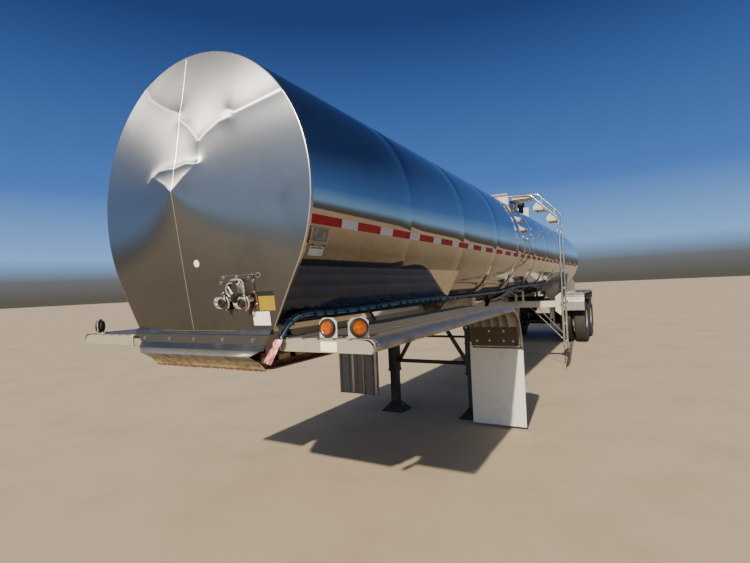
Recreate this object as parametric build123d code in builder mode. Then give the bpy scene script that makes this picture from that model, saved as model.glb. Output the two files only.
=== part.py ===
"""Tank semi-trailer, 2.44 m wide, parked on its landing gear.

Millimetres. +X points to the front, +Y to the left side, +Z up. The origin is
on the ground under the middle of the overall length and width. Places along
the trailer are given as a station, the distance back from the front head's rim.
"""
import os
from math import atan, atan2, cos, degrees, radians, sin, sqrt

from build123d import *

os.makedirs("parts", exist_ok=True)

# Overall sizes
half_width = 1219.0
barrel_radius = 887.0
barrel_bottom_z = 1308.0
barrel_axis_z = barrel_bottom_z + barrel_radius
barrel_top_z = barrel_axis_z + barrel_radius
barrel_length = 12950.0
head_bulge = 155.0
rear_bulge = 150.0
rear_overhang = 250.0
total_length = head_bulge + barrel_length + rear_overhang
front_rim_x = total_length / 2 - head_bulge
seat_gap = 0.3

# Front body under the barrel
head_rim_width = 20.0
flank_angle = 29.0
skirt_base_z = 1420.0
skirt_length = 2550.0
skirt_edge = 3.0
apron_bottom_z = 1303.0
apron_inset = 52.0
apron_lip = 40.0
coupler_bottom_z = 1192.0
coupler_half_width = 475.0
coupler_front = 60.0
coupler_length = 1830.0
coupler_plate = 10.0
coupler_nose = 40.0
nose_channel_reach = 80.0
nose_channel_sheet = 4.0
kingpin_station = 914.0

# Front fenders and their flaps
fender_inner_y = 640.0
fender_top_z = 1390.0
fender_sheet = 5.0
fender_edge_radius = 24.0
fender_edge_drop = 62.0
fender_rear_station = 3270.0
fender_rear_z = 915.0
fender_bend_radius = 460.0
fender_lip_drop = 72.0
fender_lip_notch = 80.0
flap_thickness = 8.0

# Landing gear
leg_station = 3575.0
leg_y = 530.0
leg_outer = 120.0
leg_inner = 96.0
leg_split_z = 520.0
leg_top_z = 1360.0
shoe_width = 290.0
shoe_sole = 14.0
shoe_height = 120.0

# Ladder on the left side
ladder_station = 7018.0
ladder_spacing = 436.0
ladder_y = 1185.0
ladder_rail_radius = 17.0
ladder_bottom_z = 420.0
ladder_elbow = 55.0

# Top fittings
manway_station = 7750.0
manway_radius = 254.0
manway_wall = 12.0
manway_top = 150.0
lid_radius = 285.0
lid_thickness = 12.0

# Running gear
rear_axle_setback = 555.0
axle_spacing = 1245.0
axle_stations = (barrel_length - rear_axle_setback - axle_spacing, barrel_length - rear_axle_setback)
tyre_radius = 520.0
tyre_half_width = 140.0
rim_radius = 286.0
dual_spacing = 343.0
dual_y = half_width - tyre_half_width - dual_spacing / 2
tyre_inner_y = dual_y - dual_spacing / 2 - tyre_half_width
spindle_radius = 45.0
axle_radius = 64.0
drum_depth = 235.0
backing_gap = 12.0
axle_half_length = dual_y - drum_depth - backing_gap
bellows_radius = 150.0
bellows_gap = 6.0
beam_y = tyre_inner_y - bellows_gap - bellows_radius
beam_bottom_z = 930.0
beam_top_z = 1110.0
beam_width = 90.0
frame_lead = 900.0
frame_tail = 505.0
frame_front = axle_stations[0] - frame_lead
frame_back = axle_stations[1] + frame_tail
saddle_stations = (axle_stations[0] - 390, axle_stations[0] + 590, axle_stations[1] + 245)
saddle_y = tyre_inner_y - bellows_gap
saddle_width = 60.0


def station(back):
    """Give the X of a place measured back from the front rim."""
    return front_rim_x - back


def save(builder, name):
    """Label a finished piece and write its STEP file."""
    builder.part.label = name
    export_step(builder.part, f"parts/{name}.step")


def block(x_range, y_range, z_range, mode=Mode.ADD):
    """Put one rectangular block between two corners into the open part."""
    spans = (x_range, y_range, z_range)
    middle = [(low + high) / 2 for low, high in spans]
    sizes = [abs(high - low) for low, high in spans]
    with Locations(Vector(*middle)):
        Box(*sizes, mode=mode)


def rod(start, end, radius, mode=Mode.ADD):
    """Put one round bar between two points into the open part."""
    start = Vector(*start)
    end = Vector(*end)
    with Locations(Plane(origin=start, z_dir=end - start)):
        Cylinder(radius, (end - start).length,
                 align=(Align.CENTER, Align.CENTER, Align.MIN), mode=mode)


def bar(start, end, width, height, mode=Mode.ADD):
    """Put one square-cut bar between two points, its width across the trailer."""
    start = Vector(*start)
    end = Vector(*end)
    along = end - start
    across = Vector(0, 1, 0) if abs(along.Y) < 0.9 * along.length else Vector(1, 0, 0)
    with Locations(Plane(origin=start, x_dir=across, z_dir=along)):
        Box(width, height, along.length,
            align=(Align.CENTER, Align.CENTER, Align.MIN), mode=mode)


def barrel_surface_z(y, above=False):
    """Give the height of the barrel's surface at a distance from its middle."""
    rise = sqrt(barrel_radius ** 2 - y ** 2)
    return barrel_axis_z + rise if above else barrel_axis_z - rise


def cut_barrel(front, back):
    """Cut the barrel out of the open part between two stations, so that the part seats on it."""
    with Locations((station((front + back) / 2), 0, barrel_axis_z)):
        Cylinder(barrel_radius, back - front, rotation=(0, 90, 0), mode=Mode.SUBTRACT)


def cut_corners(points, reach):
    """Swap each inner corner of a run of points for two, so that a mitred tube turns there in two steps."""
    eased = [Vector(*points[0])]
    for before, corner, after in zip(points, points[1:], points[2:]):
        before, corner, after = Vector(*before), Vector(*corner), Vector(*after)
        eased.append(corner + (before - corner).normalized() * reach)
        eased.append(corner + (after - corner).normalized() * reach)
    eased.append(Vector(*points[-1]))
    return eased


# Barrel and heads
with BuildPart() as barrel:
    with BuildSketch(Plane.YZ.offset(station(barrel_length - head_rim_width))):
        with Locations((0, barrel_axis_z)):
            Circle(barrel_radius)
    extrude(amount=barrel_length - 2 * head_rim_width)
save(barrel, "barrel")

flank = radians(flank_angle)
flank_start = (barrel_radius * cos(flank), barrel_axis_z - barrel_radius * sin(flank))
flank_run = (flank_start[1] - skirt_base_z) / cos(flank)
skirt_half_width = flank_start[0] - flank_run * sin(flank)
apron_half_width = skirt_half_width - apron_inset

with BuildPart() as front_head:
    with BuildSketch(Plane.YZ.offset(station(head_rim_width))):
        with Locations((0, barrel_axis_z)):
            Circle(barrel_radius)
        Polygon((-flank_start[0], flank_start[1]), (-skirt_half_width, skirt_base_z),
                (skirt_half_width, skirt_base_z), flank_start, align=None)
        with Locations((0, skirt_base_z)):
            Rectangle(2 * barrel_radius, barrel_radius, align=(Align.CENTER, Align.MAX), mode=Mode.SUBTRACT)
    extrude(amount=head_rim_width + head_bulge)
    cone_reach = 1.2
    with BuildSketch(Plane.XZ, mode=Mode.PRIVATE) as cone_profile:
        Polygon((station(-head_bulge), barrel_axis_z),
                (station((cone_reach - 1) * head_bulge), barrel_axis_z + cone_reach * barrel_radius),
                (station(2 * head_bulge), barrel_axis_z + cone_reach * barrel_radius),
                (station(2 * head_bulge), barrel_axis_z), align=None)
    revolve(cone_profile.sketch, axis=Axis((0, 0, barrel_axis_z), (1, 0, 0)), mode=Mode.INTERSECT)
save(front_head, "front_head")

with BuildPart() as rear_head:
    with BuildSketch(Plane.XZ) as rear_profile:
        Polygon((station(barrel_length + rear_bulge), barrel_axis_z),
                (station(barrel_length), barrel_axis_z + barrel_radius),
                (station(barrel_length - head_rim_width), barrel_axis_z + barrel_radius),
                (station(barrel_length - head_rim_width), barrel_axis_z), align=None)
    revolve(axis=Axis((0, 0, barrel_axis_z), (1, 0, 0)))
save(rear_head, "rear_head")

# Front skirt: flanks tangent to the barrel, then the apron box under them
with BuildPart() as front_skirt:
    flank_edge_run = sqrt(2 * barrel_radius * skirt_edge)
    edge_y = flank_start[0] - flank_edge_run * sin(flank)
    edge_z = flank_start[1] - flank_edge_run * cos(flank)
    with BuildSketch(Plane.YZ.offset(station(skirt_length))):
        Polygon((-edge_y, edge_z), (-skirt_half_width, skirt_base_z),
                (skirt_half_width, skirt_base_z), (edge_y, edge_z), align=None)
        with Locations((0, barrel_axis_z)):
            Circle(barrel_radius, mode=Mode.SUBTRACT)
    extrude(amount=skirt_length - head_rim_width)
    with BuildSketch(Plane.YZ.offset(station(skirt_length))):
        Polygon((-skirt_half_width, skirt_base_z), (-apron_half_width, apron_bottom_z + apron_lip),
                (-apron_half_width, apron_bottom_z), (apron_half_width, apron_bottom_z),
                (apron_half_width, apron_bottom_z + apron_lip), (skirt_half_width, skirt_base_z), align=None)
    extrude(amount=skirt_length)
    cut_barrel(head_rim_width, head_rim_width + skirt_length)
save(front_skirt, "front_skirt")

# Upper coupler: nose channel under the apron, then the ribbed frame and its bearing plate
plate_top_z = coupler_bottom_z + coupler_plate
nose_top_z = apron_bottom_z
nose_low_z = nose_top_z - 53.0
nose_back = 30.0
coupler_back = coupler_front + coupler_length
coupler_rail_y = coupler_half_width - 40.0
rib_thickness = 12.0
rib_stations = (60.0, 420.0, 700.0, 1100.0, 1450.0, 1800.0)
shoulder_radius = 36.5
with BuildPart() as upper_coupler:
    nose_tip = station(-nose_channel_reach)
    nose_root = station(nose_back)
    with BuildSketch(Plane.XZ.offset(-coupler_half_width)):
        Polygon((nose_root, nose_top_z), (nose_tip, nose_top_z), (nose_tip, nose_low_z),
                (nose_root, nose_low_z), (nose_root, nose_low_z + nose_channel_sheet),
                (nose_tip - nose_channel_sheet, nose_low_z + nose_channel_sheet),
                (nose_tip - nose_channel_sheet, nose_top_z - nose_channel_sheet),
                (nose_root, nose_top_z - nose_channel_sheet), align=None)
        Polygon((station(coupler_front), coupler_bottom_z),
                (station(coupler_front - coupler_nose), nose_low_z),
                (station(coupler_front - coupler_nose + coupler_plate), nose_low_z),
                (station(coupler_front + coupler_plate), plate_top_z), align=None)
    extrude(amount=2 * coupler_half_width)
    block((station(coupler_front), station(coupler_back)),
          (-coupler_half_width, coupler_half_width), (coupler_bottom_z, plate_top_z))
    for side in (1, -1):
        rail_y = side * coupler_rail_y
        block((station(coupler_front), station(coupler_back)),
              (rail_y - rib_thickness / 2, rail_y + rib_thickness / 2), (plate_top_z, apron_bottom_z))
    for rib_station in rib_stations:
        block((station(rib_station), station(rib_station + rib_thickness)),
              (-coupler_rail_y, coupler_rail_y), (plate_top_z, apron_bottom_z))
    rod((station(kingpin_station), 0, coupler_bottom_z), (station(kingpin_station), 0, plate_top_z),
        shoulder_radius + seat_gap, mode=Mode.SUBTRACT)
save(upper_coupler, "upper_coupler")

# Kingpin: its flange lies on the bearing plate, and the shank passes down through it
kingpin_profile = (
    # radius, height of the step, from the flange downwards
    (90.0, 14.0),
    (shoulder_radius, coupler_plate + seat_gap + 24.0),
    (25.4, 38.0),
    (35.7, 18.0),
)
with BuildPart() as kingpin:
    step_top = plate_top_z + seat_gap + kingpin_profile[0][1]
    for step_radius, step_height in kingpin_profile:
        with Locations((station(kingpin_station), 0, step_top - step_height / 2)):
            Cylinder(step_radius, step_height)
        step_top -= step_height
save(kingpin, "kingpin")

# Front fenders: a folded sheet swept back over the tractor's wheels and down
for side_name, side in (("left", 1), ("right", -1)):
    with BuildPart() as fender:
        with BuildLine() as fender_path:
            FilletPolyline((station(0), 0, fender_top_z),
                           (station(fender_rear_station), 0, fender_top_z),
                           (station(fender_rear_station), 0, fender_rear_z), radius=fender_bend_radius)
        with BuildSketch(Plane(origin=(station(0), 0, fender_top_z), x_dir=(0, 1, 0), z_dir=(-1, 0, 0))):
            with BuildLine():
                FilletPolyline((side * fender_inner_y, 0), (side * half_width, 0),
                               (side * half_width, fender_edge_drop), radius=fender_edge_radius)
                offset(amount=fender_sheet, side=Side.LEFT if side > 0 else Side.RIGHT)
            make_face()
        sweep(path=fender_path.line)
        block((station(0), station(fender_sheet)),
              (side * fender_inner_y, side * (half_width - fender_lip_notch)),
              (fender_top_z - fender_lip_drop, fender_top_z - fender_sheet))
    save(fender, f"front_fender_{side_name}")

# Fender arms: square tubes from the skirt's flank to the fenders' undersides, then the flaps' clamps
arm_size = 40.0
arm_stations = (150.0, 1150.0, 2150.0)
arm_z = fender_top_z - fender_sheet - arm_size / 2
flap_overlap = 45.0
flap_side_inset = 8.0
strip_thickness = 4.0
flap_station = fender_rear_station + flap_thickness
with BuildPart() as fender_arms:
    for side in (1, -1):
        for arm_station in arm_stations:
            block((station(arm_station), station(arm_station + arm_size)),
                  (side * (apron_half_width + 1), side * (half_width - fender_sheet - 60)),
                  (arm_z - arm_size / 2, arm_z + arm_size / 2))
        block((station(fender_rear_station - fender_sheet), station(fender_rear_station - flap_overlap)),
              (side * (fender_inner_y + 20), side * (half_width - 30)),
              (fender_rear_z, fender_top_z - fender_bend_radius))
        block((station(flap_station), station(flap_station + strip_thickness)),
              (side * (fender_inner_y - 10), side * (half_width - 20)),
              (fender_rear_z - 28, fender_rear_z + 4))
    with BuildSketch(Plane.YZ.offset(station(skirt_length)), mode=Mode.PRIVATE) as skirt_section:
        Polygon((-skirt_half_width, skirt_base_z), (-apron_half_width, apron_bottom_z + apron_lip),
                (apron_half_width, apron_bottom_z + apron_lip), (skirt_half_width, skirt_base_z), align=None)
    extrude(skirt_section.sketch, amount=skirt_length, mode=Mode.SUBTRACT)
save(fender_arms, "fender_arms")

# Flaps behind the front fenders: a plain tall one on the left, a ribbed short one on the right
flap_sides = (
    # name, side, low edge, pitch of the ribs or None
    ("left", 1, 35.0, None),
    ("right", -1, 245.0, 120.0),
)
flap_rib_radius = 8.0
for side_name, side, flap_low_z, rib_pitch in flap_sides:
    with BuildPart() as flap:
        block((station(fender_rear_station), station(flap_station)),
              (side * (fender_inner_y - 25), side * (half_width - flap_side_inset)),
              (flap_low_z, fender_rear_z + flap_overlap))
        if rib_pitch:
            rib_y = fender_inner_y + rib_pitch / 2
            while rib_y < half_width - flap_side_inset - flap_rib_radius:
                block((station(fender_rear_station), station(fender_rear_station) + flap_rib_radius),
                      (side * (rib_y - flap_rib_radius), side * (rib_y + flap_rib_radius)),
                      (flap_low_z + 6, fender_rear_z - 10))
                rib_y += rib_pitch
    save(flap, f"front_flap_{side_name}")

# Marker lamps on the front fenders: on the left one looks forward and one outward, on the right one
lamp_table = (
    # side, y, station, turn outward in degrees
    (1, 920.0, 22.0, 0.0),
    (1, 1100.0, 48.0, 50.0),
    (-1, 1100.0, 48.0, 50.0),
)
lamp_height = 108.0
lamp_width = 112.0
lamp_corner = 26.0
lamp_bracket = 10.0
lamp_ring_radius = 44.0
lamp_ring_depth = 16.0
lens_radius = 34.0
lens_depth = 10.0


def lamp_face(side, y, back, turn):
    """Give the plane on a marker lamp bracket's face, with its origin at the lamp's middle."""
    aim = radians(side * turn)
    return Plane(origin=(station(back), side * y, fender_top_z + lamp_height / 2),
                 x_dir=(-sin(aim), cos(aim), 0), z_dir=(cos(aim), sin(aim), 0))


with BuildPart() as marker_brackets:
    for side, lamp_y, lamp_station, turn in lamp_table:
        face = lamp_face(side, lamp_y, lamp_station, turn)
        with BuildSketch(face):
            Polygon((-lamp_width / 2, -lamp_height / 2), (lamp_width / 2, -lamp_height / 2),
                    (lamp_width / 2, lamp_height / 2 - lamp_corner),
                    (lamp_width / 2 - lamp_corner, lamp_height / 2),
                    (lamp_corner - lamp_width / 2, lamp_height / 2),
                    (-lamp_width / 2, lamp_height / 2 - lamp_corner), align=None)
        extrude(amount=-lamp_bracket)
        with Locations(face):
            Cylinder(lamp_ring_radius, lamp_ring_depth, align=(Align.CENTER, Align.CENTER, Align.MIN))
save(marker_brackets, "marker_brackets")

with BuildPart() as marker_lenses:
    for side, lamp_y, lamp_station, turn in lamp_table:
        with Locations(lamp_face(side, lamp_y, lamp_station, turn).offset(lamp_ring_depth)):
            Cylinder(lens_radius, lens_depth, align=(Align.CENTER, Align.CENTER, Align.MIN))
save(marker_lenses, "marker_lenses")

# Landing gear: two telescopic legs, each on a four-sided shoe with its axle
leg_x = station(leg_station)
shoe_pin_z = 75.0
with BuildPart() as landing_legs:
    for side in (1, -1):
        block((leg_x - leg_outer / 2, leg_x + leg_outer / 2),
              (side * leg_y - leg_outer / 2, side * leg_y + leg_outer / 2), (leg_split_z, leg_top_z))
        block((leg_x - leg_inner / 2, leg_x + leg_inner / 2),
              (side * leg_y - leg_inner / 2, side * leg_y + leg_inner / 2), (shoe_sole, leg_split_z))
        with Locations((leg_x, side * leg_y, 0)):
            Box(shoe_width, shoe_width, shoe_sole, align=(Align.CENTER, Align.CENTER, Align.MIN))
        with BuildSketch(Plane.XY.offset(shoe_sole)):
            with Locations((leg_x, side * leg_y)):
                Rectangle(shoe_width - 20, shoe_width - 20)
        shoe_slope = degrees(atan2((shoe_width - 20 - leg_inner) / 2, shoe_height - shoe_sole))
        extrude(amount=shoe_height - shoe_sole - 4, taper=shoe_slope)
        rod((leg_x, side * leg_y - leg_inner / 2 - 38, shoe_pin_z),
            (leg_x, side * leg_y + leg_inner / 2 + 38, shoe_pin_z), 18)
save(landing_legs, "landing_legs")

# Landing gear mounts: a bolster that seats under the barrel over both legs
bolster_low_z = 1270.0
bolster_top_z = 1455.0
bolster_half = 70.0
leg_inner_face = leg_y - leg_outer / 2
leg_outer_face = leg_y + leg_outer / 2
with BuildPart() as landing_mounts:
    with BuildSketch(Plane.YZ.offset(leg_x - bolster_half)):
        Polygon((-leg_outer_face, leg_top_z), (-leg_outer_face, bolster_top_z),
                (leg_outer_face, bolster_top_z),
                (leg_outer_face, leg_top_z), (leg_inner_face, leg_top_z),
                (leg_inner_face - 60, bolster_low_z),
                (60 - leg_inner_face, bolster_low_z), (-leg_inner_face, leg_top_z), align=None)
        with Locations((0, barrel_axis_z)):
            Circle(barrel_radius, mode=Mode.SUBTRACT)
    extrude(amount=2 * bolster_half)
save(landing_mounts, "landing_mounts")

# Landing gear braces: a cross tube, two diagonals up to the bolster, and long stays to the rear
cross_z = 655.0
cross_radius = 24.0
stay_run = 900.0
stay_low_z = 820.0
stay_high_z = 1420.0
with BuildPart() as landing_braces:
    rod((leg_x, -leg_inner_face, cross_z), (leg_x, leg_inner_face, cross_z), cross_radius)
    for side in (1, -1):
        bar((leg_x - cross_radius, side * (leg_inner_face - 10), cross_z + 10),
            (leg_x - cross_radius, side * 60, bolster_low_z + 40), 50, 12)
    block((leg_x - bolster_half, leg_x + bolster_half), (-leg_inner_face, leg_inner_face),
          (bolster_low_z, bolster_low_z + 200), mode=Mode.SUBTRACT)
    for side in (1, -1):
        bar((leg_x - leg_outer / 2, side * leg_y, stay_low_z),
            (leg_x - stay_run, side * leg_y, stay_high_z), 50, 12)
        block((leg_x - stay_run - 60, leg_x - stay_run + 60), (side * (leg_y - 45), side * (leg_y + 8)),
              (stay_high_z - 70, barrel_surface_z(leg_y) + 60))
        block((leg_x - leg_outer / 2, leg_x + leg_outer / 2),
              (side * leg_y - leg_outer / 2, side * leg_y + leg_outer / 2),
              (leg_split_z, leg_top_z), mode=Mode.SUBTRACT)
    cut_barrel(leg_station, leg_station + 2 * stay_run)
save(landing_braces, "landing_braces")

crank_z = 980.0
gearbox_reach = 80.0
crank_reach = 240.0
crank_drop = 260.0
with BuildPart() as landing_crank:
    rod((leg_x, -leg_inner_face, crank_z), (leg_x, leg_inner_face, crank_z), 14)
    handle_y = leg_outer_face + crank_reach - 10
    handle_z = crank_z - crank_drop
    block((leg_x - 55, leg_x + 55), (leg_outer_face, leg_outer_face + gearbox_reach),
          (crank_z - 90, crank_z + 90))
    rod((leg_x, leg_outer_face + gearbox_reach, crank_z), (leg_x, leg_outer_face + crank_reach, crank_z), 13)
    rod((leg_x, handle_y, crank_z), (leg_x - 30, handle_y, handle_z), 11)
    rod((leg_x - 30, handle_y, handle_z + 10), (leg_x - 30, handle_y - 120, handle_z + 10), 11)
save(landing_crank, "landing_crank")

# Ladder on the left side: two rails that bend in over the barrel, with rungs between them
rail_table = (
    # side of the ladder, then y and height over the barrel's top of the three bends
    (1, ((ladder_y, -362.0), (727.0, 104.0), (300.0, 132.0))),
    (-1, ((ladder_y, -250.0), (776.0, 185.0), (238.0, 212.0))),
)
rung_half = 12.0
rung_first_z = 510.0
rung_pitch = 320.0


def rail_x(rail_side):
    """Give the X of one ladder rail's middle."""
    return station(ladder_station) + rail_side * ladder_spacing / 2


def rail_z(bends, y):
    """Give the height of a ladder rail's middle at one distance from the trailer's middle."""
    for (outer_y, outer_rise), (inner_y, inner_rise) in zip(bends, bends[1:]):
        if inner_y <= y <= outer_y:
            share = (outer_y - y) / (outer_y - inner_y)
            return barrel_top_z + outer_rise + share * (inner_rise - outer_rise)
    raise ValueError(f"no rail at {y}")


with BuildPart() as ladder:
    for rail_side, bends in rail_table:
        end_y = bends[-1][0]
        run = [(rail_x(rail_side), ladder_y, ladder_bottom_z)]
        run += [(rail_x(rail_side), y, barrel_top_z + rise) for y, rise in bends]
        run.append((rail_x(rail_side), end_y, barrel_surface_z(end_y, above=True) - 2 * ladder_rail_radius))
        with BuildLine() as rail_path:
            Polyline(*cut_corners(run, ladder_elbow))
        with BuildSketch(Plane(origin=run[0], z_dir=(0, 0, 1))):
            Circle(ladder_rail_radius)
        sweep(path=rail_path.line, transition=Transition.RIGHT)
    rung_z = rung_first_z
    while rung_z < barrel_top_z + rail_table[0][1][0][1] - rung_pitch / 2:
        block((rail_x(-1), rail_x(1)), (ladder_y - rung_half, ladder_y + rung_half),
              (rung_z - rung_half, rung_z + rung_half))
        rung_z += rung_pitch
    cut_barrel(ladder_station - ladder_spacing, ladder_station + ladder_spacing)
save(ladder, "ladder")

# Hanging step under the ladder: two flexible straps and a tread
strap_low_z = 150.0
strap_half = 22.0
step_z = 344.0
with BuildPart() as ladder_step:
    for rail_side in (1, -1):
        block((rail_x(rail_side) - strap_half, rail_x(rail_side) + strap_half), (ladder_y - 4, ladder_y + 4),
              (strap_low_z, ladder_bottom_z))
    block((rail_x(-1) + strap_half, rail_x(1) - strap_half), (ladder_y - 20, ladder_y + 20),
          (step_z - 20, step_z + 20))
save(ladder_step, "ladder_step")

# Upper brackets from the barrel's side to the ladder's rails
bracket_z = (2470.0, 2540.0)
bracket_inner_y = barrel_radius - 107
with BuildPart() as ladder_brackets:
    for rail_side in (1, -1):
        block((rail_x(rail_side) - 6, rail_x(rail_side) + 6),
              (bracket_inner_y, ladder_y - ladder_rail_radius - seat_gap), bracket_z)
    cut_barrel(ladder_station - ladder_spacing, ladder_station + ladder_spacing)
save(ladder_brackets, "ladder_brackets")

# Outrigger: cross beam under the barrel, its cut-cornered end plate and the tie to the ladder's rails
outrigger_station = 7110.0
outrigger_depth = 80.0
outrigger_y = 1020.0
outrigger_low_z = 1125.0
outrigger_high_z = 1240.0
tie_y = 1140.0
tie_end = ladder_y - ladder_rail_radius - seat_gap
brace_foot_z = 560.0
brace_top_y = 690.0
beam_far_y = 620.0
gusset_table = (
    # y at the beam, y at the barrel
    (330.0, 290.0),
    (560.0, 600.0),
)
with BuildPart() as outrigger:
    block((station(outrigger_station), station(outrigger_station + outrigger_depth)),
          (-beam_far_y, outrigger_y),
          (outrigger_low_z, outrigger_high_z))
    for side in (1, -1):
        with BuildSketch(Plane.YZ.offset(station(outrigger_station + outrigger_depth))):
            Polygon((side * gusset_table[0][0], outrigger_high_z),
                    (side * gusset_table[1][0], outrigger_high_z),
                    (side * gusset_table[1][1], barrel_surface_z(gusset_table[1][1]) + 20),
                    (side * gusset_table[0][1], barrel_surface_z(gusset_table[0][1]) + 20), align=None)
        extrude(amount=outrigger_depth)
    with BuildSketch(Plane.YZ.offset(station(outrigger_station + 40))):
        Polygon((outrigger_y - 10, outrigger_low_z - 72), (outrigger_y + 95, outrigger_low_z - 161),
                (tie_y, outrigger_low_z - 161), (tie_y, outrigger_high_z + 152),
                (outrigger_y + 93, outrigger_high_z + 152), (outrigger_y, outrigger_high_z + 78), align=None)
    extrude(amount=12)
    block((rail_x(-1) - 20, rail_x(1) + 20), (tie_y, tie_end), (outrigger_low_z + 20, outrigger_high_z - 20))
    for rail_side in (1, -1):
        bar((station(outrigger_station + outrigger_depth / 2), brace_top_y, outrigger_low_z + 5),
            (rail_x(rail_side), tie_end - 6, brace_foot_z), 36, 10)
        rod((rail_x(rail_side), ladder_y, ladder_bottom_z), (rail_x(rail_side), ladder_y, barrel_axis_z),
            ladder_rail_radius + seat_gap, mode=Mode.SUBTRACT)
    cut_barrel(outrigger_station - 100, outrigger_station + 200)
save(outrigger, "outrigger")

# Steps over the shoulder, each a folded tread with end plates up to the rails, and a flat walkway
step_table = (
    # inner y, outer y, tread's height over the barrel's top
    (983.0, 1153.0, -392.0),
    (763.0, 939.0, -167.0),
    (390.0, 720.0, 88.0),
)
tread_sheet = 5.0
tread_fold = 40.0
end_plate = 8.0
walk_half = 190.0
walk_rise = 10.0
walk_sheet = 14.0
guard_station = ladder_station - ladder_spacing / 2 - ladder_rail_radius - seat_gap
walk_end_station = manway_station - 350.0
with BuildPart() as walkway:
    tread_start = rail_x(-1) + ladder_rail_radius + seat_gap
    tread_length = ladder_spacing - 2 * (ladder_rail_radius + seat_gap)
    for inner_y, outer_y, rise in step_table:
        tread_z = barrel_top_z + rise
        with BuildSketch(Plane.YZ.offset(tread_start)):
            Polygon((inner_y, tread_z), (outer_y, tread_z), (outer_y, tread_z - tread_fold),
                    (outer_y - tread_sheet, tread_z - tread_fold),
                    (outer_y - tread_sheet, tread_z - tread_sheet),
                    (inner_y + tread_sheet, tread_z - tread_sheet),
                    (inner_y + tread_sheet, tread_z - tread_fold),
                    (inner_y, tread_z - tread_fold), align=None)
        extrude(amount=tread_length)
        apex_y = (inner_y + outer_y) / 2
        for rail_side, bends in rail_table:
            plate_x = rail_x(rail_side) - rail_side * (ladder_rail_radius + seat_gap)
            with BuildSketch(Plane.YZ.offset(plate_x)):
                Polygon((inner_y, tread_z - tread_fold), (outer_y, tread_z - tread_fold), (outer_y, tread_z),
                        (apex_y + 30, rail_z(bends, apex_y + 30)), (apex_y - 30, rail_z(bends, apex_y - 30)),
                        (inner_y, tread_z + 30), align=None)
            extrude(amount=-rail_side * end_plate)
    block((station(guard_station), station(walk_end_station)), (-walk_half, walk_half),
          (barrel_top_z + walk_rise, barrel_top_z + walk_rise + walk_sheet))
    for foot_station in (guard_station + 80, walk_end_station - 120):
        block((station(foot_station), station(foot_station + 40)), (-walk_half, walk_half),
              (barrel_top_z - 50, barrel_top_z + walk_rise))
    cut_barrel(guard_station - 100, walk_end_station + 100)
save(walkway, "walkway")

# Overturn guards: a folded plate across the barrel's top before and behind the manway
guard_half = 330.0
guard_rise = 180.0
guard_sheet = 12.0
guard_fold = 50.0
guard_table = (
    # station of the plate's outer face, direction of its fold
    (guard_station - guard_sheet, -1),
    (2 * manway_station - guard_station + guard_sheet, 1),
)
with BuildPart() as overturn_guards:
    for plate_station, fold_way in guard_table:
        face_x = station(plate_station)
        block((face_x, face_x + fold_way * guard_sheet), (-guard_half, guard_half),
              (barrel_top_z - 100, barrel_top_z + guard_rise))
        block((face_x, face_x - fold_way * guard_fold), (-guard_half, guard_half),
              (barrel_top_z + guard_rise - guard_sheet, barrel_top_z + guard_rise))
    cut_barrel(guard_station - 200, 2 * manway_station - guard_station + 200)
save(overturn_guards, "overturn_guards")

# Vent on the barrel's shoulder: a stem and its cap
vent_station = 7400.0
vent_y = 432.0
with BuildPart() as top_vent:
    rod((station(vent_station), vent_y, barrel_surface_z(vent_y + 80, above=True)),
        (station(vent_station), vent_y, barrel_top_z), 46)
    rod((station(vent_station), vent_y, barrel_top_z), (station(vent_station), vent_y, barrel_top_z + 73), 67)
    cut_barrel(vent_station - 200, vent_station + 200)
save(top_vent, "top_vent")

# Manway: neck, then a stepped lid that hinges behind it
manway_x = station(manway_station)
neck_top_z = barrel_top_z + manway_top
neck_outer = manway_radius + manway_wall
neck_low_z = barrel_surface_z(neck_outer, above=True)
with BuildPart() as manway_neck:
    with Locations((manway_x, 0, neck_low_z)):
        Cylinder(neck_outer, neck_top_z - neck_low_z, align=(Align.CENTER, Align.CENTER, Align.MIN))
        Cylinder(manway_radius, neck_top_z - neck_low_z,
                 align=(Align.CENTER, Align.CENTER, Align.MIN), mode=Mode.SUBTRACT)
    cut_barrel(manway_station - 2 * neck_outer, manway_station + 2 * neck_outer)
save(manway_neck, "manway_neck")

lid_z = neck_top_z + seat_gap
lid_steps = (
    # radius, height of each ridge pressed into the lid, from its rim inwards
    (lid_radius, lid_thickness),
    (0.8 * lid_radius, 26.0),
)
hinge_x = manway_x - lid_radius - 40
hinge_z = lid_z + 10
hinge_pin_radius = 11.0
hinge_pin_half = 108.0
strap_y = 60.0
ear_y = 100.0
ear_half = 9.0
with BuildPart() as manway_lid:
    ridge_z = lid_z
    for ridge_radius, ridge_height in lid_steps:
        with Locations((manway_x, 0, ridge_z)):
            Cylinder(ridge_radius, ridge_height, align=(Align.CENTER, Align.CENTER, Align.MIN))
        ridge_z += ridge_height
    for side in (1, -1):
        block((manway_x - lid_radius + 10, hinge_x - 16), (side * strap_y - 14, side * strap_y + 14),
              (lid_z, lid_z + 22))
    rod((hinge_x, -hinge_pin_half, hinge_z), (hinge_x, hinge_pin_half, hinge_z), hinge_pin_radius)
save(manway_lid, "manway_lid")

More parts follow.
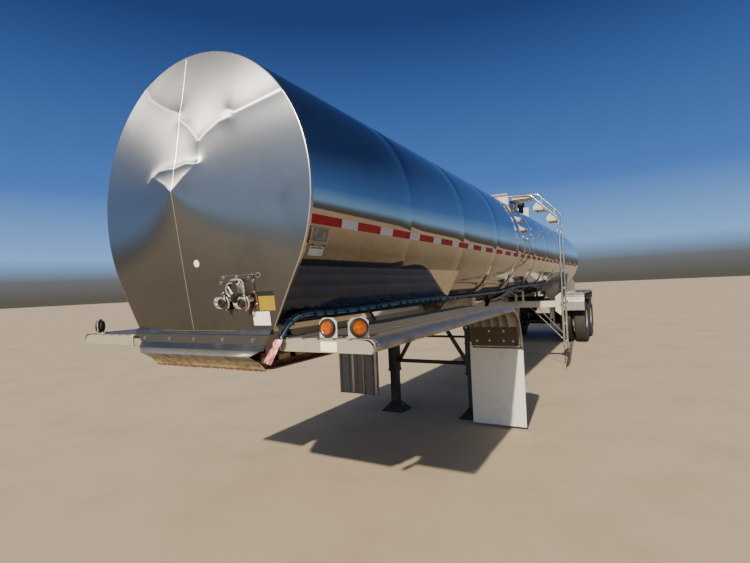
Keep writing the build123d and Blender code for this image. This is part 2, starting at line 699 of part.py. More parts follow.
with BuildPart() as lid_hinge:
    for side in (1, -1):
        block((hinge_x - 25, hinge_x + 20), (side * ear_y - ear_half, side * ear_y + ear_half),
              (barrel_surface_z(ear_y + 20, above=True) - 20, hinge_z + 20))
        rod((hinge_x, side * (ear_y - 10), hinge_z), (hinge_x, side * (ear_y + 10), hinge_z),
            hinge_pin_radius + seat_gap, mode=Mode.SUBTRACT)
        block((hinge_x - 15, manway_x - neck_outer), (side * ear_y - ear_half, side * ear_y + ear_half),
              (neck_top_z - 60, neck_top_z - 40))
    with Locations((manway_x, 0, neck_low_z)):
        Cylinder(neck_outer, neck_top_z - neck_low_z, align=(Align.CENTER, Align.CENTER, Align.MIN),
                 mode=Mode.SUBTRACT)
    cut_barrel(manway_station - 3 * lid_radius, manway_station + 3 * lid_radius)
save(lid_hinge, "lid_hinge")

# Lid clamps, swung out: a lug on the neck, the hanging eye bolt and its wing nut
clamp_angles = (-120.0, -60.0, 0.0, 60.0, 120.0)
lug_reach = 40.0
lug_top_z = neck_top_z - 30.0
with BuildPart() as lid_clamps:
    for clamp_angle in clamp_angles:
        with Locations(Plane(origin=(manway_x, 0, lug_top_z), x_dir=(cos(radians(clamp_angle)),
                                                                     sin(radians(clamp_angle)), 0))):
            with Locations((neck_outer - 2, 0, 0)):
                Box(lug_reach, 30, 16, align=(Align.MIN, Align.CENTER, Align.MAX))
            with Locations((neck_outer + lug_reach - 12, 0, -8)):
                Cylinder(8, 84, align=(Align.CENTER, Align.CENTER, Align.MAX))
                with Locations((0, 0, -84)):
                    Box(16, 60, 14)
    with Locations((manway_x, 0, neck_low_z)):
        Cylinder(neck_outer, 2 * manway_top, align=(Align.CENTER, Align.CENTER, Align.MIN),
                 mode=Mode.SUBTRACT)
save(lid_clamps, "lid_clamps")

# Subframe of the running gear: two beams, cross members and saddles up to the barrel
cross_stations = (frame_front + 150, axle_stations[0] + 600, axle_stations[1] + 365)
cross_width = 70.0
saddle_tip_y = beam_y - 190
with BuildPart() as suspension_frame:
    for side in (1, -1):
        block((station(frame_front), station(frame_back)),
              (side * beam_y - beam_width / 2, side * beam_y + beam_width / 2), (beam_bottom_z, beam_top_z))
        for saddle_station in saddle_stations:
            with BuildSketch(Plane.YZ.offset(station(saddle_station + saddle_width))):
                Polygon((side * (beam_y - 70), beam_top_z), (side * (beam_y + 60), beam_top_z),
                        (side * saddle_y, beam_top_z + 120),
                        (side * saddle_y, barrel_surface_z(saddle_y) + 20),
                        (side * saddle_tip_y, barrel_surface_z(saddle_tip_y) + 20),
                        (side * (saddle_tip_y + 40), barrel_surface_z(saddle_tip_y) - 60), align=None)
            extrude(amount=saddle_width)
    for cross_station in cross_stations:
        block((station(cross_station), station(cross_station + cross_width)),
              (-beam_y, beam_y), (beam_bottom_z + 30, beam_top_z - 20))
    cut_barrel(frame_front - 100, frame_back + 100)
save(suspension_frame, "suspension_frame")

# Hangers under the beams: two tapered cheeks with a closed front on each
hanger_lead = 520.0
cheek_gap = 34.0
cheek_sheet = 12.0
pivot_z = tyre_radius + 30
with BuildPart() as suspension_hangers:
    for axle_station in axle_stations:
        hanger_x = station(axle_station - hanger_lead)
        for side in (1, -1):
            cheek_y = side * beam_y + cheek_gap + cheek_sheet
            with BuildSketch(Plane.XZ.offset(-cheek_y)) as cheek:
                Polygon((hanger_x - 110, beam_bottom_z), (hanger_x + 130, beam_bottom_z),
                        (hanger_x + 62, pivot_z - 55), (hanger_x + 20, pivot_z - 75),
                        (hanger_x - 40, pivot_z - 75), (hanger_x - 62, pivot_z - 30), align=None)
            extrude(amount=cheek_sheet)
            extrude(cheek.sketch.moved(Location((0, -2 * cheek_gap - cheek_sheet, 0))), amount=cheek_sheet)
            block((hanger_x + 60, hanger_x + 72), (side * beam_y - cheek_gap, side * beam_y + cheek_gap),
                  (pivot_z + 90, beam_bottom_z))
save(suspension_hangers, "suspension_hangers")

# Trailing arms: pivot eye, tapered beam over the axle, spring seat and shock absorber
spring_trail = 290.0
spring_seat_reach = 400.0
spring_seat_z = tyre_radius + 112
arm_half = 30.0
eye_radius = 45.0
seat_half = 75.0
shock_radius = 26.0
arm_under_z = tyre_radius + axle_radius + seat_gap
with BuildPart() as trailing_arms:
    for axle_station in axle_stations:
        arm_x = station(axle_station)
        eye_x = arm_x + hanger_lead
        for side in (1, -1):
            rod((eye_x, side * beam_y - cheek_gap + seat_gap, pivot_z),
                (eye_x, side * beam_y + cheek_gap - seat_gap, pivot_z), eye_radius)
            with BuildSketch(Plane.XZ.offset(-side * beam_y - arm_half)):
                Polygon((eye_x, pivot_z - 36), (eye_x, pivot_z + 36), (arm_x + 130, arm_under_z + 72),
                        (arm_x - 90, arm_under_z + 72), (arm_x - 170, spring_seat_z),
                        (arm_x - spring_seat_reach, spring_seat_z),
                        (arm_x - spring_seat_reach, spring_seat_z - 20), (arm_x - 160, arm_under_z),
                        (arm_x + 140, arm_under_z), align=None)
            extrude(amount=2 * arm_half)
            block((arm_x - spring_seat_reach, arm_x - 190),
                  (side * beam_y - seat_half, side * beam_y + seat_half),
                  (spring_seat_z - 16, spring_seat_z))
            rod((arm_x + 100, side * beam_y, arm_under_z + 60),
                (arm_x + 170, side * beam_y, beam_bottom_z - 40),
                shock_radius)
            block((arm_x + 145, arm_x + 195), (side * beam_y - 20, side * beam_y + 20),
                  (beam_bottom_z - 60, beam_bottom_z - seat_gap))
save(trailing_arms, "trailing_arms")

piston_radius = 90.0
piston_height = 90.0
with BuildPart() as air_springs:
    for axle_station in axle_stations:
        for side in (1, -1):
            spring_x = station(axle_station + spring_trail)
            rod((spring_x, side * beam_y, spring_seat_z),
                (spring_x, side * beam_y, spring_seat_z + piston_height),
                piston_radius)
            rod((spring_x, side * beam_y, spring_seat_z + piston_height),
                (spring_x, side * beam_y, beam_bottom_z),
                bellows_radius)
save(air_springs, "air_springs")

backing_radius = 190.0
backing_sheet = 8.0
spindle_reach = 60.0
with BuildPart() as axles:
    for axle_station in axle_stations:
        axle_x = station(axle_station)
        rod((axle_x, -axle_half_length, tyre_radius), (axle_x, axle_half_length, tyre_radius), axle_radius)
        rod((axle_x, -dual_y - spindle_reach, tyre_radius), (axle_x, dual_y + spindle_reach, tyre_radius),
            spindle_radius)
        for side in (1, -1):
            rod((axle_x, side * (axle_half_length - backing_sheet), tyre_radius),
                (axle_x, side * axle_half_length, tyre_radius), backing_radius)
save(axles, "axles")

pot_trail = 130.0
pot_z = tyre_radius + 10
pot_steps = (
    # how far its inner and outer ends lie inside the beam's middle, radius
    (265.0, 190.0, 72.0),
    (190.0, 110.0, 82.0),
)
with BuildPart() as brake_chambers:
    for axle_station in axle_stations:
        axle_x = station(axle_station)
        pot_x = axle_x - pot_trail
        for side in (1, -1):
            for inner_reach, outer_reach, pot_radius in pot_steps:
                rod((pot_x, side * (beam_y - inner_reach), pot_z),
                    (pot_x, side * (beam_y - outer_reach), pot_z),
                    pot_radius)
            block((pot_x - 10, axle_x), (side * (beam_y - 130), side * (beam_y - 118)),
                  (tyre_radius - 30, tyre_radius + 30))
        rod((axle_x, -axle_half_length, tyre_radius), (axle_x, axle_half_length, tyre_radius), axle_radius,
            mode=Mode.SUBTRACT)
save(brake_chambers, "brake_chambers")

# Wheels: each side of an axle turns as one body with two tyres
wheel_table = (
    # body, side, station
    ("front_left", 1, axle_stations[0]),
    ("front_right", -1, axle_stations[0]),
    ("rear_left", 1, axle_stations[1]),
    ("rear_right", -1, axle_stations[1]),
)
rim_half_width = 118.0
rim_wall = 18.0
disc_half = 22.0
hub_radius = 142.0
hub_reach = 70.0
spindle_end = spindle_reach + 30
bore_side_count = 48
cap_radius = 84.0
cap_reach = 150.0
drum_radius = 208.0
hand_hole_radius = 30.0
hand_hole_circle = 200.0
hand_hole_count = 8
for wheel_name, side, wheel_station in wheel_table:
    wheel_x = station(wheel_station)
    wheel_plane = Plane(origin=(wheel_x, side * dual_y, tyre_radius), x_dir=(0, side, 0), z_dir=(side, 0, 0))
    disc_plane = Plane(origin=(wheel_x, side * dual_y, tyre_radius), x_dir=(1, 0, 0), z_dir=(0, side, 0))
    spin_axis = Axis((wheel_x, 0, tyre_radius), (0, 1, 0))
    rim_end = dual_spacing / 2 + rim_half_width
    rim_inner = rim_radius - rim_wall
    with BuildPart() as tyres:
        for tyre_middle in (-dual_spacing / 2, dual_spacing / 2):
            with BuildSketch(disc_plane.offset(tyre_middle - tyre_half_width)):
                Circle(tyre_radius)
                RegularPolygon(rim_radius + seat_gap, bore_side_count, major_radius=False, mode=Mode.SUBTRACT)
            extrude(amount=2 * tyre_half_width)
    save(tyres, f"tyres_{wheel_name}")
    with BuildPart() as wheel:
        with BuildSketch(wheel_plane):
            Polygon((-rim_end, rim_radius), (rim_end, rim_radius), (rim_end, rim_inner),
                    (disc_half, rim_inner), (disc_half, hub_radius), (hub_reach, cap_radius),
                    (cap_reach, cap_radius), (cap_reach, 0), (spindle_end, 0),
                    (spindle_end, spindle_radius + seat_gap), (-drum_depth, spindle_radius + seat_gap),
                    (-drum_depth, drum_radius), (-disc_half, drum_radius), (-disc_half, rim_inner),
                    (-rim_end, rim_inner), align=None)
        revolve(axis=spin_axis)
        with BuildSketch(disc_plane.offset(disc_half)):
            with PolarLocations(hand_hole_circle, hand_hole_count):
                RegularPolygon(hand_hole_radius, 6)
        extrude(amount=-2 * disc_half, mode=Mode.SUBTRACT)
    save(wheel, f"wheel_{wheel_name}")

# Rear fenders over the tandem: bent in flats at each end, with a turned-down outer edge
rear_fender_inner = tyre_inner_y + 4
rear_fender_top = 1300.0
rear_fender_low = 850.0
rear_fender_front = frame_front + 180
rear_fender_back = frame_back + 140
rear_fender_sheet = 4.0
rear_fender_edge = 50.0
rear_fender_bend = 230.0
bend_flats = 4


def rear_fender_run(inset):
    """List the X and Z of the rear fender's outline, moved in from its outer face."""
    radius = rear_fender_bend - inset
    ends = (
        # middle of the bend, angle where it starts
        (station(rear_fender_front + rear_fender_bend), 0.0),
        (station(rear_fender_back - rear_fender_bend), 90.0),
    )
    middle_z = rear_fender_top - rear_fender_bend
    points = [(station(rear_fender_front + inset), rear_fender_low)]
    for middle_x, start in ends:
        for turn in range(bend_flats + 1):
            angle = radians(start + 90 * turn / bend_flats)
            points.append((middle_x + radius * cos(angle), middle_z + radius * sin(angle)))
    points.append((station(rear_fender_back - inset), rear_fender_low))
    return points


with BuildPart() as rear_fenders:
    for side in (1, -1):
        for depth, across in ((rear_fender_sheet, half_width - rear_fender_inner), (rear_fender_edge, 4.0)):
            start_y = half_width if side > 0 else across - half_width
            with BuildSketch(Plane.XZ.offset(-start_y)):
                Polygon(*rear_fender_run(0), *reversed(rear_fender_run(depth)), align=None)
            extrude(amount=across)
save(rear_fenders, "rear_fenders")

# Arms under the rear fenders, out from the saddles
arm_depth = 40.0
with BuildPart() as rear_fender_arms:
    for side in (1, -1):
        for arm_station in saddle_stations:
            block((station(arm_station), station(arm_station + saddle_width)),
                  (side * saddle_y, side * (half_width - 60)),
                  (rear_fender_top - rear_fender_sheet - arm_depth, rear_fender_top - rear_fender_sheet))
save(rear_fender_arms, "rear_fender_arms")

# Wings of the first saddles: an upright plate from each rear fender to the barrel's side, and its stay
wing_sheet = 10.0
wing_width = 390.0
wing_rise = 450.0
wing_outer_y = rear_fender_inner + wing_width
wing_top_z = barrel_bottom_z + wing_rise
wing_shoulder_z = rear_fender_top + 240
stay_run_back = 620.0
stay_width = 34.0
stay_sheet = 12.0
with BuildPart() as saddle_wings:
    for side in (1, -1):
        wing_x = station(saddle_stations[0] + saddle_width / 2)
        wing_seat_y = sqrt(barrel_radius ** 2 - (barrel_axis_z - wing_top_z) ** 2)
        with BuildSketch(Plane.YZ.offset(wing_x)):
            Polygon((side * saddle_y, rear_fender_top), (side * wing_outer_y, rear_fender_top),
                    (side * wing_outer_y, wing_shoulder_z), (side * (barrel_radius - 20), wing_top_z),
                    (side * (wing_seat_y - 15), wing_top_z),
                    (side * saddle_y, barrel_surface_z(saddle_y) + 20), align=None)
        extrude(amount=wing_sheet)
        bar((wing_x, side * (wing_outer_y - 30), rear_fender_top + stay_width / 2),
            (wing_x - stay_run_back, side * (wing_seat_y - 5), wing_top_z), stay_width, stay_sheet)
    cut_barrel(saddle_stations[0] - 100, saddle_stations[0] + stay_run_back + 200)
save(saddle_wings, "saddle_wings")

rear_flap_low_z = 230.0
rear_flap_overlap = 50.0
with BuildPart() as rear_flaps:
    for side in (1, -1):
        block((station(rear_fender_back), station(rear_fender_back + flap_thickness)),
              (side * (rear_fender_inner + 5), side * (half_width - flap_side_inset)),
              (rear_flap_low_z, rear_fender_low + rear_flap_overlap))
save(rear_flaps, "rear_flaps")

# Rear bumper: underride guard with lamps, at the trailer's end
bumper_low_z = 480.0
bumper_high_z = 600.0
bumper_half = half_width - 39
bumper_depth = 100.0
bumper_post_y = beam_y + 40
bumper_back = barrel_length + rear_overhang
with BuildPart() as bumper:
    block((station(bumper_back), station(bumper_back - bumper_depth)), (-bumper_half, bumper_half),
          (bumper_low_z, bumper_high_z))
    for side in (1, -1):
        block((station(bumper_back - 10), station(bumper_back - bumper_depth + 10)),
              (side * bumper_post_y - 50, side * bumper_post_y + 50), (bumper_high_z, beam_top_z))
        block((station(bumper_back - bumper_depth + 10), station(frame_back)),
              (side * bumper_post_y - 45, side * bumper_post_y + 5), (beam_bottom_z + 20, beam_top_z))
save(bumper, "bumper")

lamp_post_width = 60.0
tail_lamp_inner = bumper_post_y + 140
with BuildPart() as tail_lamps:
    for side in (1, -1):
        block((station(bumper_back - 12), station(bumper_back - 60)),
              (side * tail_lamp_inner, side * (bumper_half - 20)), (bumper_high_z + 60, bumper_high_z + 200))
        for post_y in (tail_lamp_inner + 20, bumper_half - 40 - lamp_post_width):
            block((station(bumper_back - 20), station(bumper_back - 50)),
                  (side * post_y, side * (post_y + lamp_post_width)), (bumper_high_z, bumper_high_z + 60))
save(tail_lamps, "tail_lamps")

# Outlet: sump, mitred elbow, butterfly valve and a capped spigot at the rear
outlet_station = axle_stations[1] - 95
outlet_z = 1168.0
outlet_radius = 38.1
outlet_reach = 850.0
outlet_back = outlet_station + outlet_reach
sump_radius = 130.0
valve_radius = 70.0
valve_setback = 170.0
valve_width = 60.0
with BuildPart() as outlet_valve:
    outlet_x = station(outlet_station)
    valve_x = station(outlet_back - valve_setback)
    rod((outlet_x, 0, outlet_z + 45), (outlet_x, 0, barrel_bottom_z + 30), sump_radius)
    cut_barrel(outlet_station - 300, outlet_station + 300)
    with BuildLine() as outlet_path:
        Polyline((outlet_x, 0, outlet_z + 60), (outlet_x, 0, outlet_z), (station(outlet_back), 0, outlet_z))
    with BuildSketch(Plane(origin=(outlet_x, 0, outlet_z + 60), z_dir=(0, 0, -1))):
        Circle(outlet_radius)
    sweep(path=outlet_path.line, transition=Transition.RIGHT)
    rod((valve_x, 0, outlet_z), (valve_x - valve_width, 0, outlet_z), valve_radius)
    stem_x = valve_x - valve_width / 2
    rod((stem_x, 0, outlet_z), (stem_x, 0, outlet_z + 110), 9)
    bar((stem_x, 0, outlet_z + 105), (stem_x - 140, 0, outlet_z + 112), 24, 8)
save(outlet_valve, "outlet_valve")

# Hose tube on the right side, with a door at its rear end
tube_z = 1230.0
tube_y = -(barrel_radius - 107)
tube_radius = 110.0
tube_wall = 4.0
tube_front = 4300.0
tube_back = frame_front - 150
tube_bands = 4
band_lead = 450.0
band_tail = 200.0
door_pin_z = tube_z + tube_radius + 18
door_pin_radius = 5.0
door_sheet = 8.0
tube_hanger_y = tube_y + 220
band_width = 50.0
with BuildPart() as hose_tube:
    tube_end_x = station(tube_back)
    pin_x = tube_end_x - 5
    rod((station(tube_front), tube_y, tube_z), (tube_end_x, tube_y, tube_z), tube_radius)
    rod((station(tube_front) - 5, tube_y, tube_z), (tube_end_x - 5, tube_y, tube_z),
        tube_radius - tube_wall, mode=Mode.SUBTRACT)
    for band in range(tube_bands):
        band_pitch = (tube_back - tube_front - band_lead - band_tail) / (tube_bands - 1)
        band_x = station(tube_front + band_lead + band * band_pitch)
        block((band_x, band_x - band_width), (tube_y - 15, tube_hanger_y + 8),
              (tube_z + tube_radius - 3, tube_z + tube_radius + 3))
        block((band_x, band_x - band_width), (tube_hanger_y, tube_hanger_y + 8),
              (tube_z + tube_radius, barrel_surface_z(tube_hanger_y) + 20))
    cut_barrel(tube_front, tube_back)
    for ear_y_offset in (-38, 38):
        block((tube_end_x + 40, tube_end_x - 12), (tube_y + ear_y_offset - 6, tube_y + ear_y_offset + 6),
              (tube_z + tube_radius - 10, door_pin_z + 8))
    rod((pin_x, tube_y - 60, door_pin_z), (pin_x, tube_y + 60, door_pin_z),
        door_pin_radius + seat_gap, mode=Mode.SUBTRACT)
    rod((tube_end_x, tube_y, tube_z), (tube_end_x - 20, tube_y, tube_z), tube_radius + 8, mode=Mode.SUBTRACT)
save(hose_tube, "hose_tube")

with BuildPart() as hose_tube_door:
    rod((tube_end_x - seat_gap, tube_y, tube_z), (tube_end_x - door_sheet, tube_y, tube_z), tube_radius + 6)
    block((tube_end_x - 2, tube_end_x - door_sheet), (tube_y - 25, tube_y + 25),
          (tube_z + tube_radius - 10, door_pin_z))
    rod((pin_x, tube_y - 43, door_pin_z), (pin_x, tube_y + 43, door_pin_z), door_pin_radius)
save(hose_tube_door, "hose_tube_door")

# Air tank under the barrel, ahead of the tandem
tank_lead = 550.0
tank_station = frame_front - tank_lead
tank_radius = 120.0
tank_half = 420.0
tank_z = 1130.0
with BuildPart() as air_tank:
    tank_x = station(tank_station)
    rod((tank_x, -tank_half, tank_z), (tank_x, tank_half, tank_z), tank_radius)
    for tank_strap_y in (-250, 250):
        block((tank_x - tank_radius - 4, tank_x + tank_radius + 4), (tank_strap_y - 20, tank_strap_y + 20),
              (tank_z - 4, tank_z + tank_radius - 10))
        block((tank_x - 30, tank_x + 30), (tank_strap_y - 20, tank_strap_y + 20),
              (tank_z + tank_radius - 10, barrel_surface_z(tank_strap_y) + 20))
    cut_barrel(tank_station - 300, tank_station + 300)
save(air_tank, "air_tank")

# Service panel on the front head: a bolted plate, glad hands and the electrical socket
head_slope = head_bulge / barrel_radius
head_tilt = atan(head_slope)
panel_y = 380.0
panel_z = 1646.0
panel_width = 240.0
panel_height = 179.0
panel_proud = 4.0
panel_depth = 10.0
panel_reach = sqrt(panel_y ** 2 + (panel_z - barrel_axis_z) ** 2)


def head_x(y, z):
    """Give the X of the front head's face at one place."""
    return station(-head_bulge) - head_slope * sqrt(y ** 2 + (z - barrel_axis_z) ** 2)


# The panel's plane lies along the cone: its X runs across and its Y up
panel_out = (cos(head_tilt), sin(head_tilt) * panel_y / panel_reach,
             sin(head_tilt) * (panel_z - barrel_axis_z) / panel_reach)
panel_face = Plane(origin=(head_x(panel_y, panel_z), panel_y, panel_z),
                   x_dir=(-panel_out[1], panel_out[0], 0), z_dir=panel_out).offset(panel_proud)
with BuildPart() as service_panel:
    with Locations(panel_face):
        Box(panel_width, panel_height, panel_depth, align=(Align.CENTER, Align.CENTER, Align.MAX))
    with BuildSketch(Plane.XZ, mode=Mode.PRIVATE) as cone_profile_low:
        Polygon((station(-head_bulge), barrel_axis_z),
                (station((cone_reach - 1) * head_bulge), barrel_axis_z - cone_reach * barrel_radius),
                (station(head_bulge), barrel_axis_z - cone_reach * barrel_radius),
                (station(head_bulge), barrel_axis_z), align=None)
    revolve(cone_profile_low.sketch, axis=Axis((0, 0, barrel_axis_z), (1, 0, 0)), mode=Mode.SUBTRACT)
save(service_panel, "service_panel")

hand_table = (
    # place of each seal's middle on the panel, across and up
    (-78.0, -54.0),
    (58.0, -58.0),
)
hand_outline = (
    # across and up from the seal's middle, round the coupling's body
    (-66.0, -12.0),
    (-66.0, 12.0),
    (-40.0, 29.0),
    (44.0, 29.0),
    (44.0, -29.0),
    (-40.0, -29.0),
)
seal_radius = 36.0
seal_sheet = 8.0
hand_stand = 24.0
hand_depth = 30.0
stand_across = 41.0
stand_width = 22.0
stand_height = 36.0
with BuildPart() as glad_hands:
    for hand_across, hand_up in hand_table:
        with BuildSketch(panel_face.offset(hand_stand)):
            Polygon(*((hand_across + across, hand_up + up) for across, up in hand_outline), align=None)
        extrude(amount=hand_depth)
        with Locations(panel_face.offset(hand_stand + hand_depth)):
            with Locations((hand_across, hand_up)):
                Cylinder(seal_radius, seal_sheet, align=(Align.CENTER, Align.CENTER, Align.MIN))
        with Locations(panel_face):
            with Locations((hand_across + stand_across, hand_up)):
                Box(stand_width, stand_height, hand_stand + hand_depth,
                    align=(Align.CENTER, Align.CENTER, Align.MIN))
save(glad_hands, "glad_hands")

socket_across = -2.0
socket_up = 13.0
socket_steps = (
    # how far from the panel each step starts, its depth and radius
    (0.0, 12.0, 52.0),
    (12.0, 50.0, 40.0),
)
socket_lid = (44.0, 90.0, 8.0)
with BuildPart() as electrical_socket:
    for step_start, step_depth, step_radius in socket_steps:
        with Locations(panel_face.offset(step_start)):
            with Locations((socket_across, socket_up)):
                Cylinder(step_radius, step_depth, align=(Align.CENTER, Align.CENTER, Align.MIN))
    with Locations(panel_face.offset(step_start + step_depth)):
        with Locations((socket_across, socket_up)):
            Box(*socket_lid, align=(Align.CENTER, Align.CENTER, Align.MIN))
save(electrical_socket, "electrical_socket")

# Air lines: one sleeve from the apron's corner up the left flank and back under the barrel
line_radius = 15.0
line_start = (-20.0, 655.0, 1402.0)
line_route = (
    # station, z by hand, along the flank and then the barrel
    (160.0, 1497.0),
    (460.0, 1484.0),
    (1500.0, 1504.0),
    (skirt_length + line_radius, 1497.0),
    (skirt_length + 350, 1490.0),
    (4800.0, 1490.0),
    (5250.0, 1516.0),
    (5700.0, 1541.0),
    (9400.0, 1556.0),
)


def line_y(back, z):
    """Give the Y at which the air lines lie against the flank, or behind it against the barrel."""
    if back <= skirt_length + 2 * line_radius:
        return skirt_half_width + ((z - skirt_base_z) * sin(flank) + line_radius + seat_gap) / cos(flank)
    return sqrt((barrel_radius + line_radius + seat_gap) ** 2 - (barrel_axis_z - z) ** 2)


with BuildPart() as air_lines:
    line_points = [(station(line_start[0]), line_start[1], line_start[2])]
    line_points += [(station(back), line_y(back, z), z) for back, z in line_route]
    for start, end in zip(line_points, line_points[1:]):
        rod(start, end, line_radius)
save(air_lines, "air_lines")

# Placard holder on the left flank: a plate with folded lips on three sides
holder_angle = 17.0
holder_size = (180.0, 110.0)
holder_sheet = 3.0
holder_lip = 8.0
with BuildPart() as placard_holder:
    tilt = radians(holder_angle)
    face_radius = barrel_radius + seat_gap
    holder_plane = Plane(origin=(station(120), face_radius * cos(tilt),
                                 barrel_axis_z - face_radius * sin(tilt)),
                         x_dir=(-1, 0, 0), z_dir=(0, cos(tilt), -sin(tilt)))
    with Locations(holder_plane):
        Box(*holder_size, holder_sheet, align=(Align.CENTER, Align.CENTER, Align.MIN))
        with Locations((0, -holder_size[1] / 2, 0), (0, holder_size[1] / 2, 0)):
            Box(holder_size[0], holder_lip, 2 * holder_lip, align=(Align.CENTER, Align.CENTER, Align.MIN))
        with Locations((holder_size[0] / 2, 0, 0)):
            Box(holder_lip, holder_size[1], 2 * holder_lip, align=(Align.CENTER, Align.CENTER, Align.MIN))
save(placard_holder, "placard_holder")
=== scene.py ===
"""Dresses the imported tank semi-trailer: meshes, finishes, studio and camera.

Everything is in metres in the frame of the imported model: +X to the front, +Y to the left, +Z up.
Places along the trailer are given as a station, the distance back from the front rim.
"""
import logging
import math
import random
from dataclasses import dataclass, replace
from enum import Enum
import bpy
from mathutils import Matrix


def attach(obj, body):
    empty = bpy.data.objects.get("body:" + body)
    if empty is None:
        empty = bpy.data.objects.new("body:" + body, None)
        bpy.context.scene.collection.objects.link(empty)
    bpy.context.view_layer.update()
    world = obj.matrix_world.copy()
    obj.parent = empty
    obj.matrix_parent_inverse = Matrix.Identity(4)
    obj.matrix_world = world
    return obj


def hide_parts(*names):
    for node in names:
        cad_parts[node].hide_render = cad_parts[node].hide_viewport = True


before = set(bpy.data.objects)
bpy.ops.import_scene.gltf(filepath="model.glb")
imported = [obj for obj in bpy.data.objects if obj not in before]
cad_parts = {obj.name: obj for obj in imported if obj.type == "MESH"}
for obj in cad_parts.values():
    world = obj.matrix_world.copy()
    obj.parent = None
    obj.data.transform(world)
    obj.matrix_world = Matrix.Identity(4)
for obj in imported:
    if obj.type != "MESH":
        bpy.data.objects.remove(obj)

from fnmatch import fnmatchcase
from typing import Iterable, Optional, Sequence

import bmesh
import bpy
import numpy as np
from mathutils import Matrix, Vector

log = logging.getLogger("trailer")
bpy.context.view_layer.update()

Point = tuple[float, float, float]
Socket = bpy.types.NodeSocket
FORWARD = Vector((1, 0, 0))
BACKWARD = Vector((-1, 0, 0))
LEFT = Vector((0, 1, 0))
UP = Vector((0, 0, 1))


class Body(Enum):
    """The moving bodies that a piece may ride on."""

    TRAILER = "trailer"
    LID = "manway_lid"
    FRONT_LEFT = "front_left_wheels"
    FRONT_RIGHT = "front_right_wheels"
    REAR_LEFT = "rear_left_wheels"
    REAR_RIGHT = "rear_right_wheels"


class Pattern(Enum):
    """How a finish's grain is drawn out, as scale factors along the three axes."""

    PLAIN = (1.0, 1.0, 1.0)
    BRUSHED_UP = (1.0, 1.0, 0.03)
    BRUSHED_ALONG = (0.02, 1.0, 1.0)


def linear(hex_colour: str) -> tuple[float, float, float, float]:
    """Turn an sRGB hex colour into linear light.

    Args:
        hex_colour: Six hex digits, with or without a leading hash.

    Returns:
        The linear red, green, blue and an alpha of one.
    """
    digits = hex_colour.lstrip("#")
    parts = [int(digits[i:i + 2], 16) / 255 for i in (0, 2, 4)]
    light = [p / 12.92 if p <= 0.04045 else ((p + 0.055) / 1.055) ** 2.4 for p in parts]
    return (light[0], light[1], light[2], 1.0)


def add_node(tree: bpy.types.NodeTree, kind: str, settings: Optional[dict] = None,
             inputs: Optional[dict] = None) -> bpy.types.Node:
    """Add one node with its settings, and its inputs as values or links.

    Args:
        tree: The node tree to add it to.
        kind: The node's type name.
        settings: Attributes of the node by name.
        inputs: Values or output sockets by the input's name or number.

    Returns:
        The new node.
    """
    node = tree.nodes.new(kind)
    for name, value in (settings or {}).items():
        setattr(node, name, value)
    for key, value in (inputs or {}).items():
        if isinstance(value, bpy.types.NodeSocket):
            tree.links.new(value, node.inputs[key])
        else:
            node.inputs[key].default_value = value
    return node


